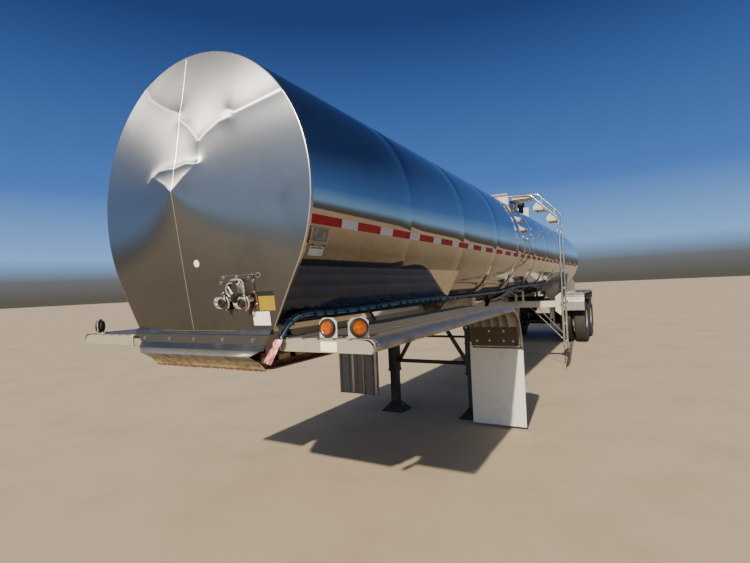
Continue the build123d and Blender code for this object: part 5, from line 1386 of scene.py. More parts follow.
    def labels(self) -> None:
        """Lay the blank plates, the round disc and the small diamond on the head."""
        kit = MeshKit("head_plates", (YELLOW_VINYL, BLACK_VINYL, WHITE_VINYL, ZINC_PLATE))
        for middle, size, radius, proud, thick, slot in self.plates:
            kit.turn = self.head.spot(*middle)
            kit.plate([(a, u, proud) for a, u in soft_box(*size, radius)], (0, 0, thick), slot)
        kit.turn = self.head.spot(*self.disc_at)
        kit.disc((0, 0, 0), UP, ((0.021, 0), (0.021, 0.001), (0.015, 0.0014), (0.014, 0.0008)), 28, 2)
        kit.turn = self.head.spot(*self.diamond_at)
        for reach, proud, slot in ((0.018, 0.0006, 3), (0.011, 0.0012, 1)):
            corners = ((reach, 0, proud), (0, reach, proud), (-reach, 0, proud), (0, -reach, proud))
            kit.plate(corners, (0, 0, 0.0006), slot)
        kit.turn = None
        kit.make()


@dataclass
class MarkerLamps:
    """The amber lamps on the front fenders: folded brackets, rubber rings and ribbed lenses."""

    trailer: Trailer
    # side, y, station, turn outward in degrees
    places: tuple = ((1, 0.938, 0.022, 0.0), (1, 1.103, 0.048, 50.0), (-1, 1.103, 0.048, 50.0))
    foot_z: float = 1.39
    size: tuple[float, float] = (0.108, 0.102)
    corner: float = 0.022
    # radius and rise of the rubber ring and of the ribbed lens
    ring: tuple = ((0.046, 0), (0.048, 0.004), (0.047, 0.012), (0.043, 0.018), (0.038, 0.019), (0.035, 0.015),
                   (0.0345, 0.006))
    lens: tuple = ((0.0345, 0), (0.0345, 0.010), (0.032, 0.0135), (0.0295, 0.012), (0.0275, 0.0155),
                   (0.024, 0.0145), (0.022, 0.0175), (0.018, 0.0165), (0.0165, 0.0190), (0.012, 0.0180),
                   (0.010, 0.0200), (0.004, 0.0200))

    def build(self) -> None:
        """Build the brackets with their rings as one piece and the lenses as another."""
        holders = MeshKit("lamp_holders", (PRIMED_SHEET, MOULDED_RUBBER, ZINC_PLATE))
        lenses = MeshKit("ribbed_lenses", (AMBER_ACRYLIC,))
        half_a, half_u = self.size[0] / 2, self.size[1] / 2
        for side, y, back, turn in self.places:
            aim = math.radians(side * turn)
            ahead, beside = math.cos(aim), math.sin(aim)
            axes = Matrix(((-beside, 0, ahead), (ahead, 0, beside), (0, 1, 0)))
            place = Matrix.Translation((self.trailer.x(back), side * y, self.foot_z + half_u)) @ axes.to_4x4()
            holders.turn = lenses.turn = place
            top_a, top_u = half_a - self.corner, half_u - self.corner
            face = ((-half_a, -half_u), (half_a, -half_u), (half_a, top_u), (top_a, half_u), (-top_a, half_u),
                    (-half_a, top_u))
            holders.plate([(a, u, -0.004) for a, u in face], (0, 0, 0.004), 0)
            holders.box((-half_a, -half_u, -0.046), (half_a, 0.004 - half_u, -0.004), 0)
            for a in (-0.035, 0.035):
                hex_bolt(holders, (a, 0.004 - half_u, -0.026), LEFT, 0.012, 2)
            holders.disc((0, 0, 0), UP, self.ring, 40, 1)
            holders.disc((0, 0, -0.004), -UP, ((0.040, 0), (0.038, 0.018), (0.020, 0.022)), 24, 1)
            lenses.disc((0, 0, 0.006), UP, self.lens, 40, 0)
        piece = holders.make(bevel_mm=0.8)
        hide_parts("marker_brackets")
        lens = lenses.make(smooth_deg=20)
        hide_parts("marker_lenses")


@dataclass
class AirLoom:
    """The sleeve of air and power lines on the left flank, tied at short steps, and its ribbon."""

    trailer: Trailer
    tie_pitch: float = 0.105
    point_pitch: float = 0.12
    # station of the run, how far its middle stands off the steel, and z on the steel
    route: tuple = ((-0.032, 0.080, 1.431), (0.018, 0.056, 1.471), (0.104, 0.026, 1.497),
                    (0.24, 0.0135, 1.506), (0.37, 0.0135, 1.497), (0.61, 0.0135, 1.494),
                    (0.93, 0.0135, 1.495), (1.5, 0.0135, 1.508), (2.565, 0.0135, 1.500), (2.9, 0.0135, 1.494),
                    (4.8, 0.0135, 1.494), (5.25, 0.0135, 1.519), (5.7, 0.0135, 1.543), (9.4, 0.0135, 1.556))
    # distance out from the middle and up from it, radius and finish of each strand
    strands: tuple = ((-0.001, -0.011, 0.0165, 0), (0.000, 0.015, 0.0130, 0), (0.012, 0.002, 0.0065, 1),
                      (0.0125, 0.0145, 0.0060, 2))

    def steel(self, back: float, z: float) -> tuple[Vector, Vector]:
        """Give a point of the steel that the run lies on.

        Args:
            back: Its station.
            z: Its height.

        Returns:
            The point and the steel's outward direction there.
        """
        t = self.trailer
        tilt = math.radians(t.flank_deg)
        if back <= t.skirt_length:
            y = t.skirt_half() + (z - t.skirt_base_z) * math.tan(tilt)
            return Vector((t.x(back), y, z)), Vector((0, math.cos(tilt), -math.sin(tilt)))
        y = t.chord(t.axis_z - z)
        return Vector((t.x(back), y, z)), Vector((0, y, z - t.axis_z)).normalized()

    def run(self) -> list[tuple[Vector, Vector]]:
        """Give close points along the run's middle.

        Returns:
            The points, each with the steel's outward direction.
        """
        points = []
        line = rounded(self.route, 0.16, 5)
        for before, after in zip(line, line[1:]):
            parts = max(1, round((after - before).length / self.point_pitch))
            points += [before.lerp(after, k / parts) for k in range(parts)]
        middles = []
        for back, away, z in points + [line[-1]]:
            surface, out = self.steel(back, z)
            middles.append((surface + out * away, out))
        return middles

    def build(self) -> None:
        """Lay the strands, their ties, and the ribbon at the front."""
        kit = MeshKit("tied_air_lines", (BRAIDED_SLEEVE, TEAL_LINE, BLUE_LINE, MOULDED_RUBBER))
        run = self.run()
        up_run = [Vector((0, -out.z, out.y)) for point, out in run]
        for away, rise, radius, slot in self.strands:
            path = [point + out * away + up * rise for (point, out), up in zip(run, up_run)]
            kit.tube(path, radius, slot, 10)
        passed = 0.0
        for (start, out), (end, _), up in zip(run, run[1:], up_run):
            passed += (end - start).length
            if passed < self.tie_pitch:
                continue
            passed = 0.0
            along = (end - start).normalized()
            middle = start + out * 0.0035 + up * 0.003
            loop = [middle + out * 0.0205 * math.cos(a) + up * 0.030 * math.sin(a) for a in turns(14)]
            kit.grid([[p + along * shift for p in loop] for shift in (-0.005, 0.005)], 3, closed=True)
            kit.box(middle + out * 0.019 + up * 0.006 - Vector((0.006, 0.003, 0.005)),
                    middle + out * 0.026 + up * 0.016 + Vector((0.006, 0.003, 0.005)), 3)
        loom = kit.make(smooth_deg=50)
        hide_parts("air_lines")
        self.ribbon()

    def ribbon(self) -> None:
        """Hang the folded ribbon from the front end of the run."""
        kit = MeshKit("hanging_ribbon", (PINK_RIBBON,))
        x = self.trailer.rim_x + 0.03
        spine = rounded(((x, 0.664, 1.390), (x + 0.012, 0.642, 1.345), (x + 0.024, 0.590, 1.255)), 0.05)
        rows = []
        for index, point in enumerate(spine):
            half = 0.021 + 0.003 * math.sin(index)
            rows.append([point + Vector((0.004 * math.sin(7 * w + index), half * w, -0.30 * half * w))
                         for w in (-1, -0.5, 0, 0.5, 1)])
        kit.grid(rows)
        piece = kit.make(smooth_deg=60)
        piece.modifiers.new("cloth", "SOLIDIFY").thickness = 0.002


@dataclass
class Coupler:
    """The upper coupler: its folded nose, the flaked plate under it, and the frame round the kingpin."""

    trailer: Trailer
    half: float = 0.475
    front: float = 0.06
    back: float = 1.89
    plate_low: float = 1.192
    plate_high: float = 1.202
    rail_high: float = 1.303
    rail_thick: float = 0.010
    rail_inset: float = 0.035
    hole_pitch: float = 0.155
    hole_length: float = 0.056
    hole_z: tuple[float, float] = (1.232, 1.262)
    rib_stations: tuple[float, ...] = (0.06, 0.42, 0.70, 1.10, 1.45, 1.80)
    kingpin_station: float = 0.914
    kingpin_hole: float = 0.0368
    slot_places: tuple[float, ...] = (-0.256, 0.284)
    # distance in front of the rim, height and half width of the nose, from its upper fold to its return
    nose: tuple = ((0.036, 1.316, 0.520), (0.062, 1.290, 0.472), (0.062, 1.286, 0.468), (0.004, 1.251, 0.470),
                   (-0.035, 1.251, 0.470))

    def build(self) -> None:
        """Build the nose as one sheet and the frame as another piece."""
        self.fold_nose()
        kit = MeshKit("coupler_frame", (RUSTED_STEEL, FLAKED_PAINT))
        self.bearing_plate(kit)
        self.rails(kit)
        self.scale(kit)
        frame_piece = kit.make(smooth_deg=25)
        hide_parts("upper_coupler")

    def fold_nose(self) -> None:
        """Fold the nose from sheet, open at both ends, with two slots down its lower face."""
        t = self.trailer
        kit = MeshKit("coupler_nose", (DULLED_STAINLESS,))
        kit.grid(folded(t.rim_x, self.nose))
        piece = kit.make(smooth_deg=20)
        piece.modifiers.new("sheet", "SOLIDIFY").thickness = 0.004
        slots = MeshKit("coupler_nose_slots", (HOLLOW, ZINC_PLATE))
        # each slot is a flat black plate, painted shade of the opening, with a thin zinc strip along it
        for y in self.slot_places:
            for shift, width, slot in ((0.0, 0.006, 0), (0.006, 0.002, 1)):
                top_x, foot_x, side_y = t.rim_x + 0.0635, t.rim_x + 0.0055, y + shift
                outline = ((top_x, side_y, 1.286), (top_x, side_y + width, 1.286),
                           (foot_x, side_y + width - 0.012, 1.250), (foot_x, side_y - 0.012, 1.250))
                slots.plate(outline, (0.0006, 0, -0.0010), slot)
        slots.make()

    def bearing_plate(self, kit: MeshKit) -> None:
        """Lay the plate round the kingpin's hole.

        Args:
            kit: The frame's mesh.
        """
        t = self.trailer
        centre_x = t.x(self.kingpin_station)
        ahead, behind = self.kingpin_station - self.front, self.back - self.kingpin_station
        rings = []
        for reach_out, z in ((False, self.plate_high), (True, self.plate_high), (True, self.plate_low),
                             (False, self.plate_low)):
            ring = []
            for turn in turns(64, 0.5):
                way_x, way_y = math.cos(turn), math.sin(turn)
                across = (ahead if way_x > 0 else behind) / max(abs(way_x), 1e-6)
                reach = min(across, self.half / max(abs(way_y), 1e-6)) if reach_out else self.kingpin_hole
                ring.append((centre_x + way_x * reach, way_y * reach, z))
            rings.append(ring)
        kit.grid(rings + rings[:1], 0, closed=True)

    def rails(self, kit: MeshKit) -> None:
        """Stand the holed side rails and the ribs on the plate.

        Args:
            kit: The frame's mesh.
        """
        t = self.trailer
        low, high = self.hole_z
        for side in (1, -1):
            outer = side * (self.half - self.rail_inset)
            inner = outer - side * self.rail_thick
            for bottom, top in ((self.plate_high, low), (high, self.rail_high)):
                kit.box((t.x(self.back), inner, bottom), (t.x(self.front), outer, top))
            place = self.front
            while place < self.back:
                end = min(self.back, place + self.hole_pitch - self.hole_length)
                kit.box((t.x(end), inner, low), (t.x(place), outer, high), 1 if side > 0 else 0)
                place += self.hole_pitch
        reach = self.half - self.rail_inset - self.rail_thick
        for place in self.rib_stations:
            kit.box((t.x(place + 0.012), -reach, self.plate_high), (t.x(place), reach, self.rail_high))

    def scale(self, kit: MeshKit) -> None:
        """Hang the plate below the nose, its paint in flakes and its lower edge in scale.

        Args:
            kit: The frame's mesh.
        """
        t = self.trailer
        chance = random.Random(7)
        top, middle, foot, tail = [], [], [], []
        for k in range(121):
            y = -self.half + 2 * self.half * k / 120
            ragged = chance.uniform(-1, 1)
            top.append((t.rim_x - 0.002, y, 1.2505))
            middle.append((t.rim_x - 0.030 + 0.001 * ragged, y, 1.226 + 0.003 * ragged))
            foot.append((t.x(self.front) + 0.004, y, self.plate_low + 0.008 + 0.004 * ragged))
            tail.append((t.x(self.front), y, self.plate_low - 0.008 * chance.random()))
        kit.grid([top, middle], 1)
        kit.grid([middle, foot], 1)
        kit.grid([foot, tail], 0)


@dataclass
class Placard:
    """The placard in its folded holder, and the small blank plate under it, both on the left flank."""

    trailer: Trailer
    sheet: float = 0.0015
    # start and end along the trailer, then round the barrel in degrees, of the holder's four rims
    rims: tuple = (((0.024, 0.188), (-14.6, -15.3)), ((0.024, 0.188), (-19.5, -20.8)),
                   ((0.024, 0.040), (-15.3, -19.5)), ((0.176, 0.188), (-15.3, -19.5)))

    def patch(self, kit: MeshKit, stations: Sequence[float], angles: Sequence[float], proud: float,
              slot: int) -> None:
        """Lay a sheet that follows the barrel.

        Args:
            kit: The mesh that takes it.
            stations: Where it starts and ends along the trailer.
            angles: Where it starts and ends round the barrel, in degrees.
            proud: How far it stands off the barrel.
            slot: Which finish it takes.
        """
        (front, back), (high, low) = stations, angles
        corners = ((front, high), (back, high), (back, low), (front, low))
        middle = (high + low) / 2
        out = self.trailer.on_barrel(front, middle, 1) - self.trailer.on_barrel(front, middle)
        kit.plate([self.trailer.on_barrel(*corner, proud) for corner in corners], out * self.sheet, slot)

    def build(self) -> None:
        """Build the holder with its rims, the plate in it and the plate below."""
        kit = MeshKit("placard_in_holder", (MILL_STAINLESS, SCUFFED_PLATE, HOLLOW))
        self.patch(kit, (0.024, 0.188), (-14.6, -20.8), 0.0015, 0)
        self.patch(kit, (0.040, 0.176), (-15.4, -19.4), 0.0045, 1)
        for stations, angles in self.rims:
            self.patch(kit, stations, angles, 0.0075, 0)
        # two small black patches just under the holder: painted shade below it
        for back in (0.062, 0.165):
            self.patch(kit, (back, back + 0.012), (-20.9, -21.4), 0.0015, 2)
        holder = kit.make(bevel_mm=0.6)
        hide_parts("placard_holder")
        below = MeshKit("small_flank_plate", (WHITE_FILM, SCUFFED_PLATE))
        self.patch(below, (0.049, 0.175), (-21.6, -25.0), 0.0010, 0)
        self.patch(below, (0.055, 0.169), (-21.9, -22.4), 0.0022, 1)
        below.make(bevel_mm=0.4)


@dataclass
class Ladder:
    """The side ladder: bent tubes, ribbed rungs, and the hanging step with its punched straps."""

    trailer: Trailer
    station: float = 7.018
    spacing: float = 0.436
    outer_y: float = 1.185
    radius: float = 0.017
    top_z: float = 3.082
    strut_z: float = 2.505
    rungs: int = 7
    lowest_rung: float = 0.51
    rung_pitch: float = 0.32
    rung_radius: float = 0.0115
    step_z: float = 0.344
    # side of the ladder, then y and rise over the barrel's top of the three bends
    rails: tuple = ((1, ((1.185, -0.362), (0.727, 0.104), (0.300, 0.132))),
                    (-1, ((1.185, -0.250), (0.776, 0.185), (0.238, 0.212))))

    def rail_x(self, side: int) -> float:
        """Give the X of the front rail, 1, or of the rear one, -1."""
        return self.trailer.x(self.station) + side * self.spacing / 2

    def build(self) -> None:
        """Build rails and rungs as one piece, the struts as another and the hanging step as a third."""
        t = self.trailer
        kit = MeshKit("bent_tube_ladder", (POLISHED_ALUMINIUM,))
        for side, bends in self.rails:
            x = self.rail_x(side)
            end_y = bends[-1][0]
            foot = t.chord(end_y) + t.axis_z
            run = [(x, self.outer_y, 0.42)] + [(x, y, self.top_z + rise) for y, rise in bends]
            kit.tube(rounded(run + [(x, end_y, foot)], 0.07, 7), self.radius, 0, 18)
            kit.disc((x, end_y, foot), UP, ((0.034, 0), (0.034, 0.006), (0.017, 0.008)), 20, 0)
        rung = self.rung_radius
        collar = ((0.0150, 0.014), (0.0150, 0.020), (rung, 0.022))
        rib = ((rung, 0), (rung + 0.002, 0.001), (rung + 0.002, 0.005), (rung, 0.006))
        for step in range(self.rungs):
            z = self.lowest_rung + step * self.rung_pitch
            ends = [(self.rail_x(way), self.outer_y, z) for way in (-1, 1)]
            kit.tube(ends, rung, 0, 12)
            for end, inward in zip(ends, (FORWARD, BACKWARD)):
                kit.disc(end, inward, collar, 12, 0)
            for k in range(-6, 7):
                place = (t.x(self.station) + k * 0.030 - 0.003, self.outer_y, z)
                kit.disc(place, FORWARD, rib, 12, 0, capped=False)
        ladder = kit.make(smooth_deg=40)
        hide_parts("ladder")
        self.struts()
        self.step()

    def struts(self) -> None:
        """Tie both rails to the barrel's side with slim struts on round feet."""
        kit = MeshKit("ladder_struts", (MIRROR_STAINLESS, ZINC_PLATE))
        z = self.strut_z
        rise = z - self.trailer.axis_z
        foot_y = self.trailer.chord(rise)
        end_y = self.outer_y - self.radius
        foot = ((0.020, 0), (0.020, 0.006), (0.008, 0.009))
        for way in (-1, 1):
            x = self.rail_x(way)
            kit.tube(((x, foot_y, z), (x, end_y, z)), 0.005, 0, 12)
            kit.disc((x, foot_y - 0.004, z), Vector((0, foot_y, rise)), foot, 20, 0)
            kit.disc((x, end_y - 0.012, z), LEFT, ((0.009, 0), (0.009, 0.012)), 6, 1)
        piece = kit.make(smooth_deg=40)
        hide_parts("ladder_brackets")

    def step(self) -> None:
        """Hang the lowest step on two punched rubber straps."""
        kit = MeshKit("hanging_step", (MOULDED_RUBBER, ZINC_PLATE, HOLLOW))
        y = self.outer_y
        hole = ((0.009, 0), (0.009, 0.0008), (0.006, 0.001))
        rib = ((0.019, 0), (0.022, 0.001), (0.022, 0.007), (0.019, 0.008))
        for way in (-1, 1):
            x = self.rail_x(way)
            strap = rounded(((x, y, 0.47), (x, y + 0.002, 0.33), (x, y, 0.15)), 0.05)
            kit.grid([[p + Vector((w * 0.022, 0, 0)) for w in (-1, -0.5, 0.5, 1)] for p in strap])
            # the punched holes are black discs on both faces: painted shade of the holes
            for k in range(6):
                for face in (-1, 1):
                    kit.disc((x, y + face * 0.0042, 0.175 + 0.045 * k), Vector((0, face, 0)), hole, 14, 2)
            hex_bolt(kit, (x, y + 0.018, 0.45), LEFT, 0.018, 1)
        back, front = (self.trailer.x(self.station) + way * 0.20 for way in (-1, 1))
        kit.tube(((back - 0.015, y, self.step_z), (front + 0.015, y, self.step_z)), 0.019, 0, 16)
        for k in range(9):
            kit.disc((back + 0.016 + k * 0.045, y, self.step_z), FORWARD, rib, 16, 0, capped=False)
        piece = kit.make(smooth_deg=40)
        piece.modifiers.new("strap", "SOLIDIFY").thickness = 0.006
        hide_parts("ladder_step")


@dataclass
class Outrigger:
    """The beam under the barrel that carries the ladder: folded channel, posts, end plate and stays."""

    ladder: Ladder
    station: float = 7.11
    depth: float = 0.08
    far_y: float = -0.62
    near_y: float = 1.02
    z: tuple[float, float] = (1.125, 1.240)
    sheet: float = 0.006
    posts: tuple[float, ...] = (0.31, 0.44)
    tie_y: float = 1.14
    # y and height of the end plate's corners
    plate: tuple = ((1.010, 1.053), (1.115, 0.964), (1.140, 0.964), (1.140, 1.392), (1.113, 1.392),
                    (1.020, 1.318))
    # y and height of each stay's head; its foot is at a rail
    stays: tuple = ((0.575, 1.122), (0.700, 1.122))
    foot_z: float = 0.60

    def build(self) -> None:
        """Build the channel with its posts, the end plate with its tie, and the stays."""
        t = self.ladder.trailer
        kit = MeshKit("ladder_outrigger", (CREAM_ENAMEL, ZINC_PLATE, WEATHERED_ALUMINIUM))
        front = t.x(self.station)
        back = front - self.depth
        low, high = self.z
        kit.box((front - self.sheet, self.far_y, low), (front, self.near_y, high))
        for z in (low, high - self.sheet):
            kit.box((back, self.far_y, z), (front - self.sheet, self.near_y, z + self.sheet))
        for y in self.posts + tuple(-y for y in self.posts):
            top = t.axis_z - t.chord(y)
            kit.box((back + 0.02, y - 0.018, high - 0.004), (front - 0.02, y + 0.018, top + 0.012))
            kit.box((back, y - 0.045, high), (front, y + 0.045, high + 0.008))
        plate_x = front - self.depth / 2
        kit.plate([(plate_x, y, z) for y, z in self.plate], (-0.010, 0, 0))
        rear, fore = (self.ladder.rail_x(way) for way in (-1, 1))
        tie_face = self.tie_y + 0.024
        kit.box((rear - 0.02, self.tie_y, low + 0.02), (fore + 0.02, tie_face, high - 0.02), 2)
        for x in (rear, fore):
            for z in (low + 0.035, high - 0.035):
                hex_bolt(kit, (x, tie_face, z), LEFT, 0.016, 1)
        for (y, z), x in zip(self.stays, (fore, rear)):
            foot = Vector((x, self.tie_y + 0.012, self.foot_z))
            kit.tube(((plate_x, y, z), foot), 0.009, 2, 12)
            kit.disc(foot + Vector((0, -0.006, 0)), LEFT, ((0.016, 0), (0.016, 0.012)), 12, 1)
            kit.box((plate_x - 0.016, y - 0.02, z - 0.012), (plate_x + 0.016, y + 0.02, z + 0.004), 2)
        piece = kit.make(smooth_deg=30, bevel_mm=1.5)
        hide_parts("outrigger")


@dataclass
class Steps:
    """The steps over the shoulder: folded treads between end plates, and the walkway with its grip."""

    ladder: Ladder
    # inner y, outer y, height of the tread over the barrel's top
    treads: tuple = ((0.983, 1.153, -0.372), (0.763, 0.939, -0.147), (0.390, 0.720, 0.088))
    fold: float = 0.026
    plate: float = 0.006
    walk: tuple[float, float] = (6.785, 7.40)
    walk_half: float = 0.19
    walk_low: float = 3.092
    walk_high: float = 3.106

    def rail_z(self, bends: Sequence[tuple[float, float]], y: float) -> float:
        """Give the height of a rail's middle at one place across.

        Args:
            bends: Y and rise over the barrel's top of the rail's bends, from the outside in.
            y: The place.

        Returns:
            The height in metres.
        """
        for (outer_y, outer_rise), (inner_y, inner_rise) in zip(bends, bends[1:]):
            if inner_y <= y <= outer_y:
                share = (outer_y - y) / (outer_y - inner_y)
                return self.ladder.top_z + outer_rise + share * (inner_rise - outer_rise)
        return self.ladder.top_z

    def build(self) -> None:
        """Build treads with their end plates, and the walkway."""
        kit = MeshKit("shoulder_steps", (CREAM_ENAMEL, ZINC_PLATE))
        half = self.ladder.spacing / 2 - self.ladder.radius
        middle = self.ladder.trailer.x(self.ladder.station)
        back, front = middle - half, middle + half
        for inner_y, outer_y, rise in self.treads:
            z = self.ladder.top_z + rise
            kit.box((back, inner_y, z - 0.005), (front, outer_y, z))
            for y in (inner_y, outer_y - 0.005):
                kit.box((back, y, z - self.fold), (front, y + 0.005, z - 0.005))
            self.grip(kit, (back + 0.02, inner_y + 0.02), (front - 0.02, outer_y - 0.02), z)
            apex = (inner_y + outer_y) / 2
            peak = min(0.12, self.rail_z(self.ladder.rails[0][1], apex) - z)
            outline = [(inner_y, z - self.fold), (outer_y, z - self.fold), (outer_y, z + 0.01),
                       (apex + 0.022, z + peak), (apex - 0.022, z + peak), (inner_y, z + 0.03)]
            for way, (_, bends) in zip((1, -1), self.ladder.rails):
                x = middle + way * half
                top = self.rail_z(bends, apex)
                kit.plate([(x, y, height) for y, height in outline], (-way * self.plate, 0, 0))
                kit.box((x - 0.003, apex - 0.009, z + 0.03), (x + 0.003, apex + 0.009, top), 1)
                hex_bolt(kit, (x, apex, z + 0.036), Vector((way, 0, 0)), 0.012, 1)
        self.walkway(kit)
        piece = kit.make(smooth_deg=30)
        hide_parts("walkway")

    def grip(self, kit: MeshKit, low: tuple[float, float], high: tuple[float, float], z: float) -> None:
        """Raise round buttons in rows on a tread.

        Args:
            kit: The steps' mesh.
            low: X and Y of one corner.
            high: X and Y of the other corner.
            z: The tread's top.
        """
        width, depth = high[0] - low[0], high[1] - low[1]
        rows = max(2, round(depth / 0.035))
        columns = max(2, round(width / 0.045))
        button = ((0.009, 0), (0.0065, 0.0035), (0.003, 0.0040))
        for row in range(rows):
            for column in range(columns):
                x = low[0] + (column + 0.5) * width / columns
                y = low[1] + (row + 0.5) * depth / rows
                kit.disc((x, y, z - 0.0005), UP, button, 10, 0)

    def walkway(self, kit: MeshKit) -> None:
        """Lay the walkway's folded plate along the barrel's top on its feet.

        Args:
            kit: The steps' mesh.
        """
        front, back = (self.ladder.trailer.x(station) for station in self.walk)
        half, low = self.walk_half, self.walk_low
        kit.box((back, -half, low), (front, half, self.walk_high))
        for y in (half - 0.004, -half):
            kit.box((back, y, low - 0.02), (front, y + 0.004, low))
        for x in (front - 0.12, back + 0.10):
            kit.box((x, -half + 0.02, self.ladder.top_z - 0.03), (x + 0.04, half - 0.02, low))
        self.grip(kit, (back + 0.02, -half + 0.02), (front - 0.02, half - 0.02), self.walk_high)


@dataclass
class LandingGear:
    """What the plain legs lack: weld collars, mount plates, bolts, axle caps and the gearbox lid."""

    trailer: Trailer
    station: float = 3.575
    leg_y: float = 0.53
    outer: float = 0.12
    # radius and rise of the rings of a foot's bolt and of its pin's cap
    foot_bolt: tuple = ((0.012, 0), (0.012, 0.003), (0.008, 0.004))
    pin_cap: tuple = ((0.024, 0), (0.024, 0.006), (0.018, 0.010))

    def build(self) -> None:
        """Dress both legs and their mounts."""
        kit = MeshKit("landing_gear_fittings", (CHASSIS_ENAMEL, ZINC_PLATE))
        x = self.trailer.x(self.station)
        half = self.outer / 2
        for side in (1, -1):
            y = side * self.leg_y
            ring = soft_box(self.outer + 0.018, self.outer + 0.018, 0.012)
            for low, high in ((0.52, 0.548), (0.90, 0.912), (1.05, 1.062)):
                kit.plate([(x + a, y + u, low) for a, u in ring], (0, 0, high - low), 0)
            kit.plate([(x + a, y + u, 0.500) for a, u in soft_box(0.104, 0.104, 0.008)], (0, 0, 0.02), 0)
            for z in (1.10, 1.17, 1.24, 1.31):
                for way in (-1, 1):
                    hex_bolt(kit, (x + half, y + way * 0.038, z), FORWARD, 0.020, 1)
            kit.box((x - 0.09, y - side * half - 0.004, 1.07), (x + 0.09, y - side * half + 0.004, 1.36), 0)
            for corner_x in (-0.11, 0.11):
                for corner_y in (-0.11, 0.11):
                    kit.disc((x + corner_x, y + corner_y, 0.014), UP, self.foot_bolt, 14, 1)
            for way in (-1, 1):
                kit.disc((x, y + way * 0.088, 0.075), Vector((0, way, 0)), self.pin_cap, 20, 1)
        box_y = self.leg_y + half + 0.08
        kit.plate([(x + a, box_y, 0.98 + u) for a, u in soft_box(0.094, 0.164, 0.018)], (0, 0.006, 0), 0)
        for a in (-0.036, 0.036):
            for u in (-0.068, 0.068):
                hex_bolt(kit, (x + a, box_y + 0.006, 0.98 + u), LEFT, 0.011, 1)
        grip_y = self.leg_y + half + 0.235
        kit.tube(((x - 0.03, grip_y, 0.73), (x - 0.03, grip_y - 0.123, 0.73)), 0.0155, 0, 14)
        kit.make(bevel_mm=1.5)


@dataclass
class Manway:
    """The manway's pressed lid and the fittings that ride with it, and the neck's weld and gasket."""

    trailer: Trailer
    station: float = 7.75
    neck_top: float = 3.232
    lid_radius: float = 0.285

    def build(self) -> None:
        """Build the lid's pressings, handle, vent and bolts on its body, and the neck's gasket and weld."""
        x = self.trailer.x(self.station)
        lid_z = self.neck_top + 0.0003
        kit = MeshKit("lid_pressings", (BRUSHED_STAINLESS, ZINC_PLATE))
        edge = self.lid_radius
        pressing = ((edge + 0.0002, 0.001), (edge + 0.0004, 0.010), (edge - 0.006, 0.0135), (0.262, 0.0135),
                    (0.240, 0.0165), (0.229, 0.0360), (0.222, 0.0395), (0.16, 0.0400), (0.15, 0.0425),
                    (0.14, 0.0400), (0.08, 0.0405), (0.04, 0.0405))
        kit.disc((x, 0, lid_z), UP, pressing, 96, 0)
        bow = ((-0.055, 0.038), (-0.055, 0.070), (0.055, 0.070), (0.055, 0.038))
        kit.tube(rounded([(x + 0.10, y, lid_z + rise) for y, rise in bow], 0.02), 0.007, 0)
        vent = ((0.030, 0), (0.030, 0.012), (0.022, 0.016), (0.022, 0.030), (0.016, 0.034))
        kit.disc((x - 0.06, 0.07, lid_z + 0.040), UP, vent, 28, 1)
        for turn in turns(8, 0.5):
            place = (x + 0.205 * math.cos(turn), 0.205 * math.sin(turn), lid_z + 0.0398)
            hex_bolt(kit, place, UP, 0.013, 1)
        kit.make(Body.LID, smooth_deg=35)
        neck = MeshKit("neck_welds", (MILL_STAINLESS, MOULDED_RUBBER))
        weld = []
        for turn in turns(96) + [2 * math.pi]:
            y = 0.267 * math.sin(turn)
            weld.append((x + 0.267 * math.cos(turn), y, self.trailer.axis_z + self.trailer.chord(y) + 0.001))
        neck.tube(weld, 0.007, 0, 8)
        gasket = ((0.266, 0), (0.272, 0.001), (0.272, 0.014), (0.266, 0.0150))
        neck.disc((x, 0, self.neck_top - 0.016), UP, gasket, 96, 1, capped=False)
        neck.make(smooth_deg=45)


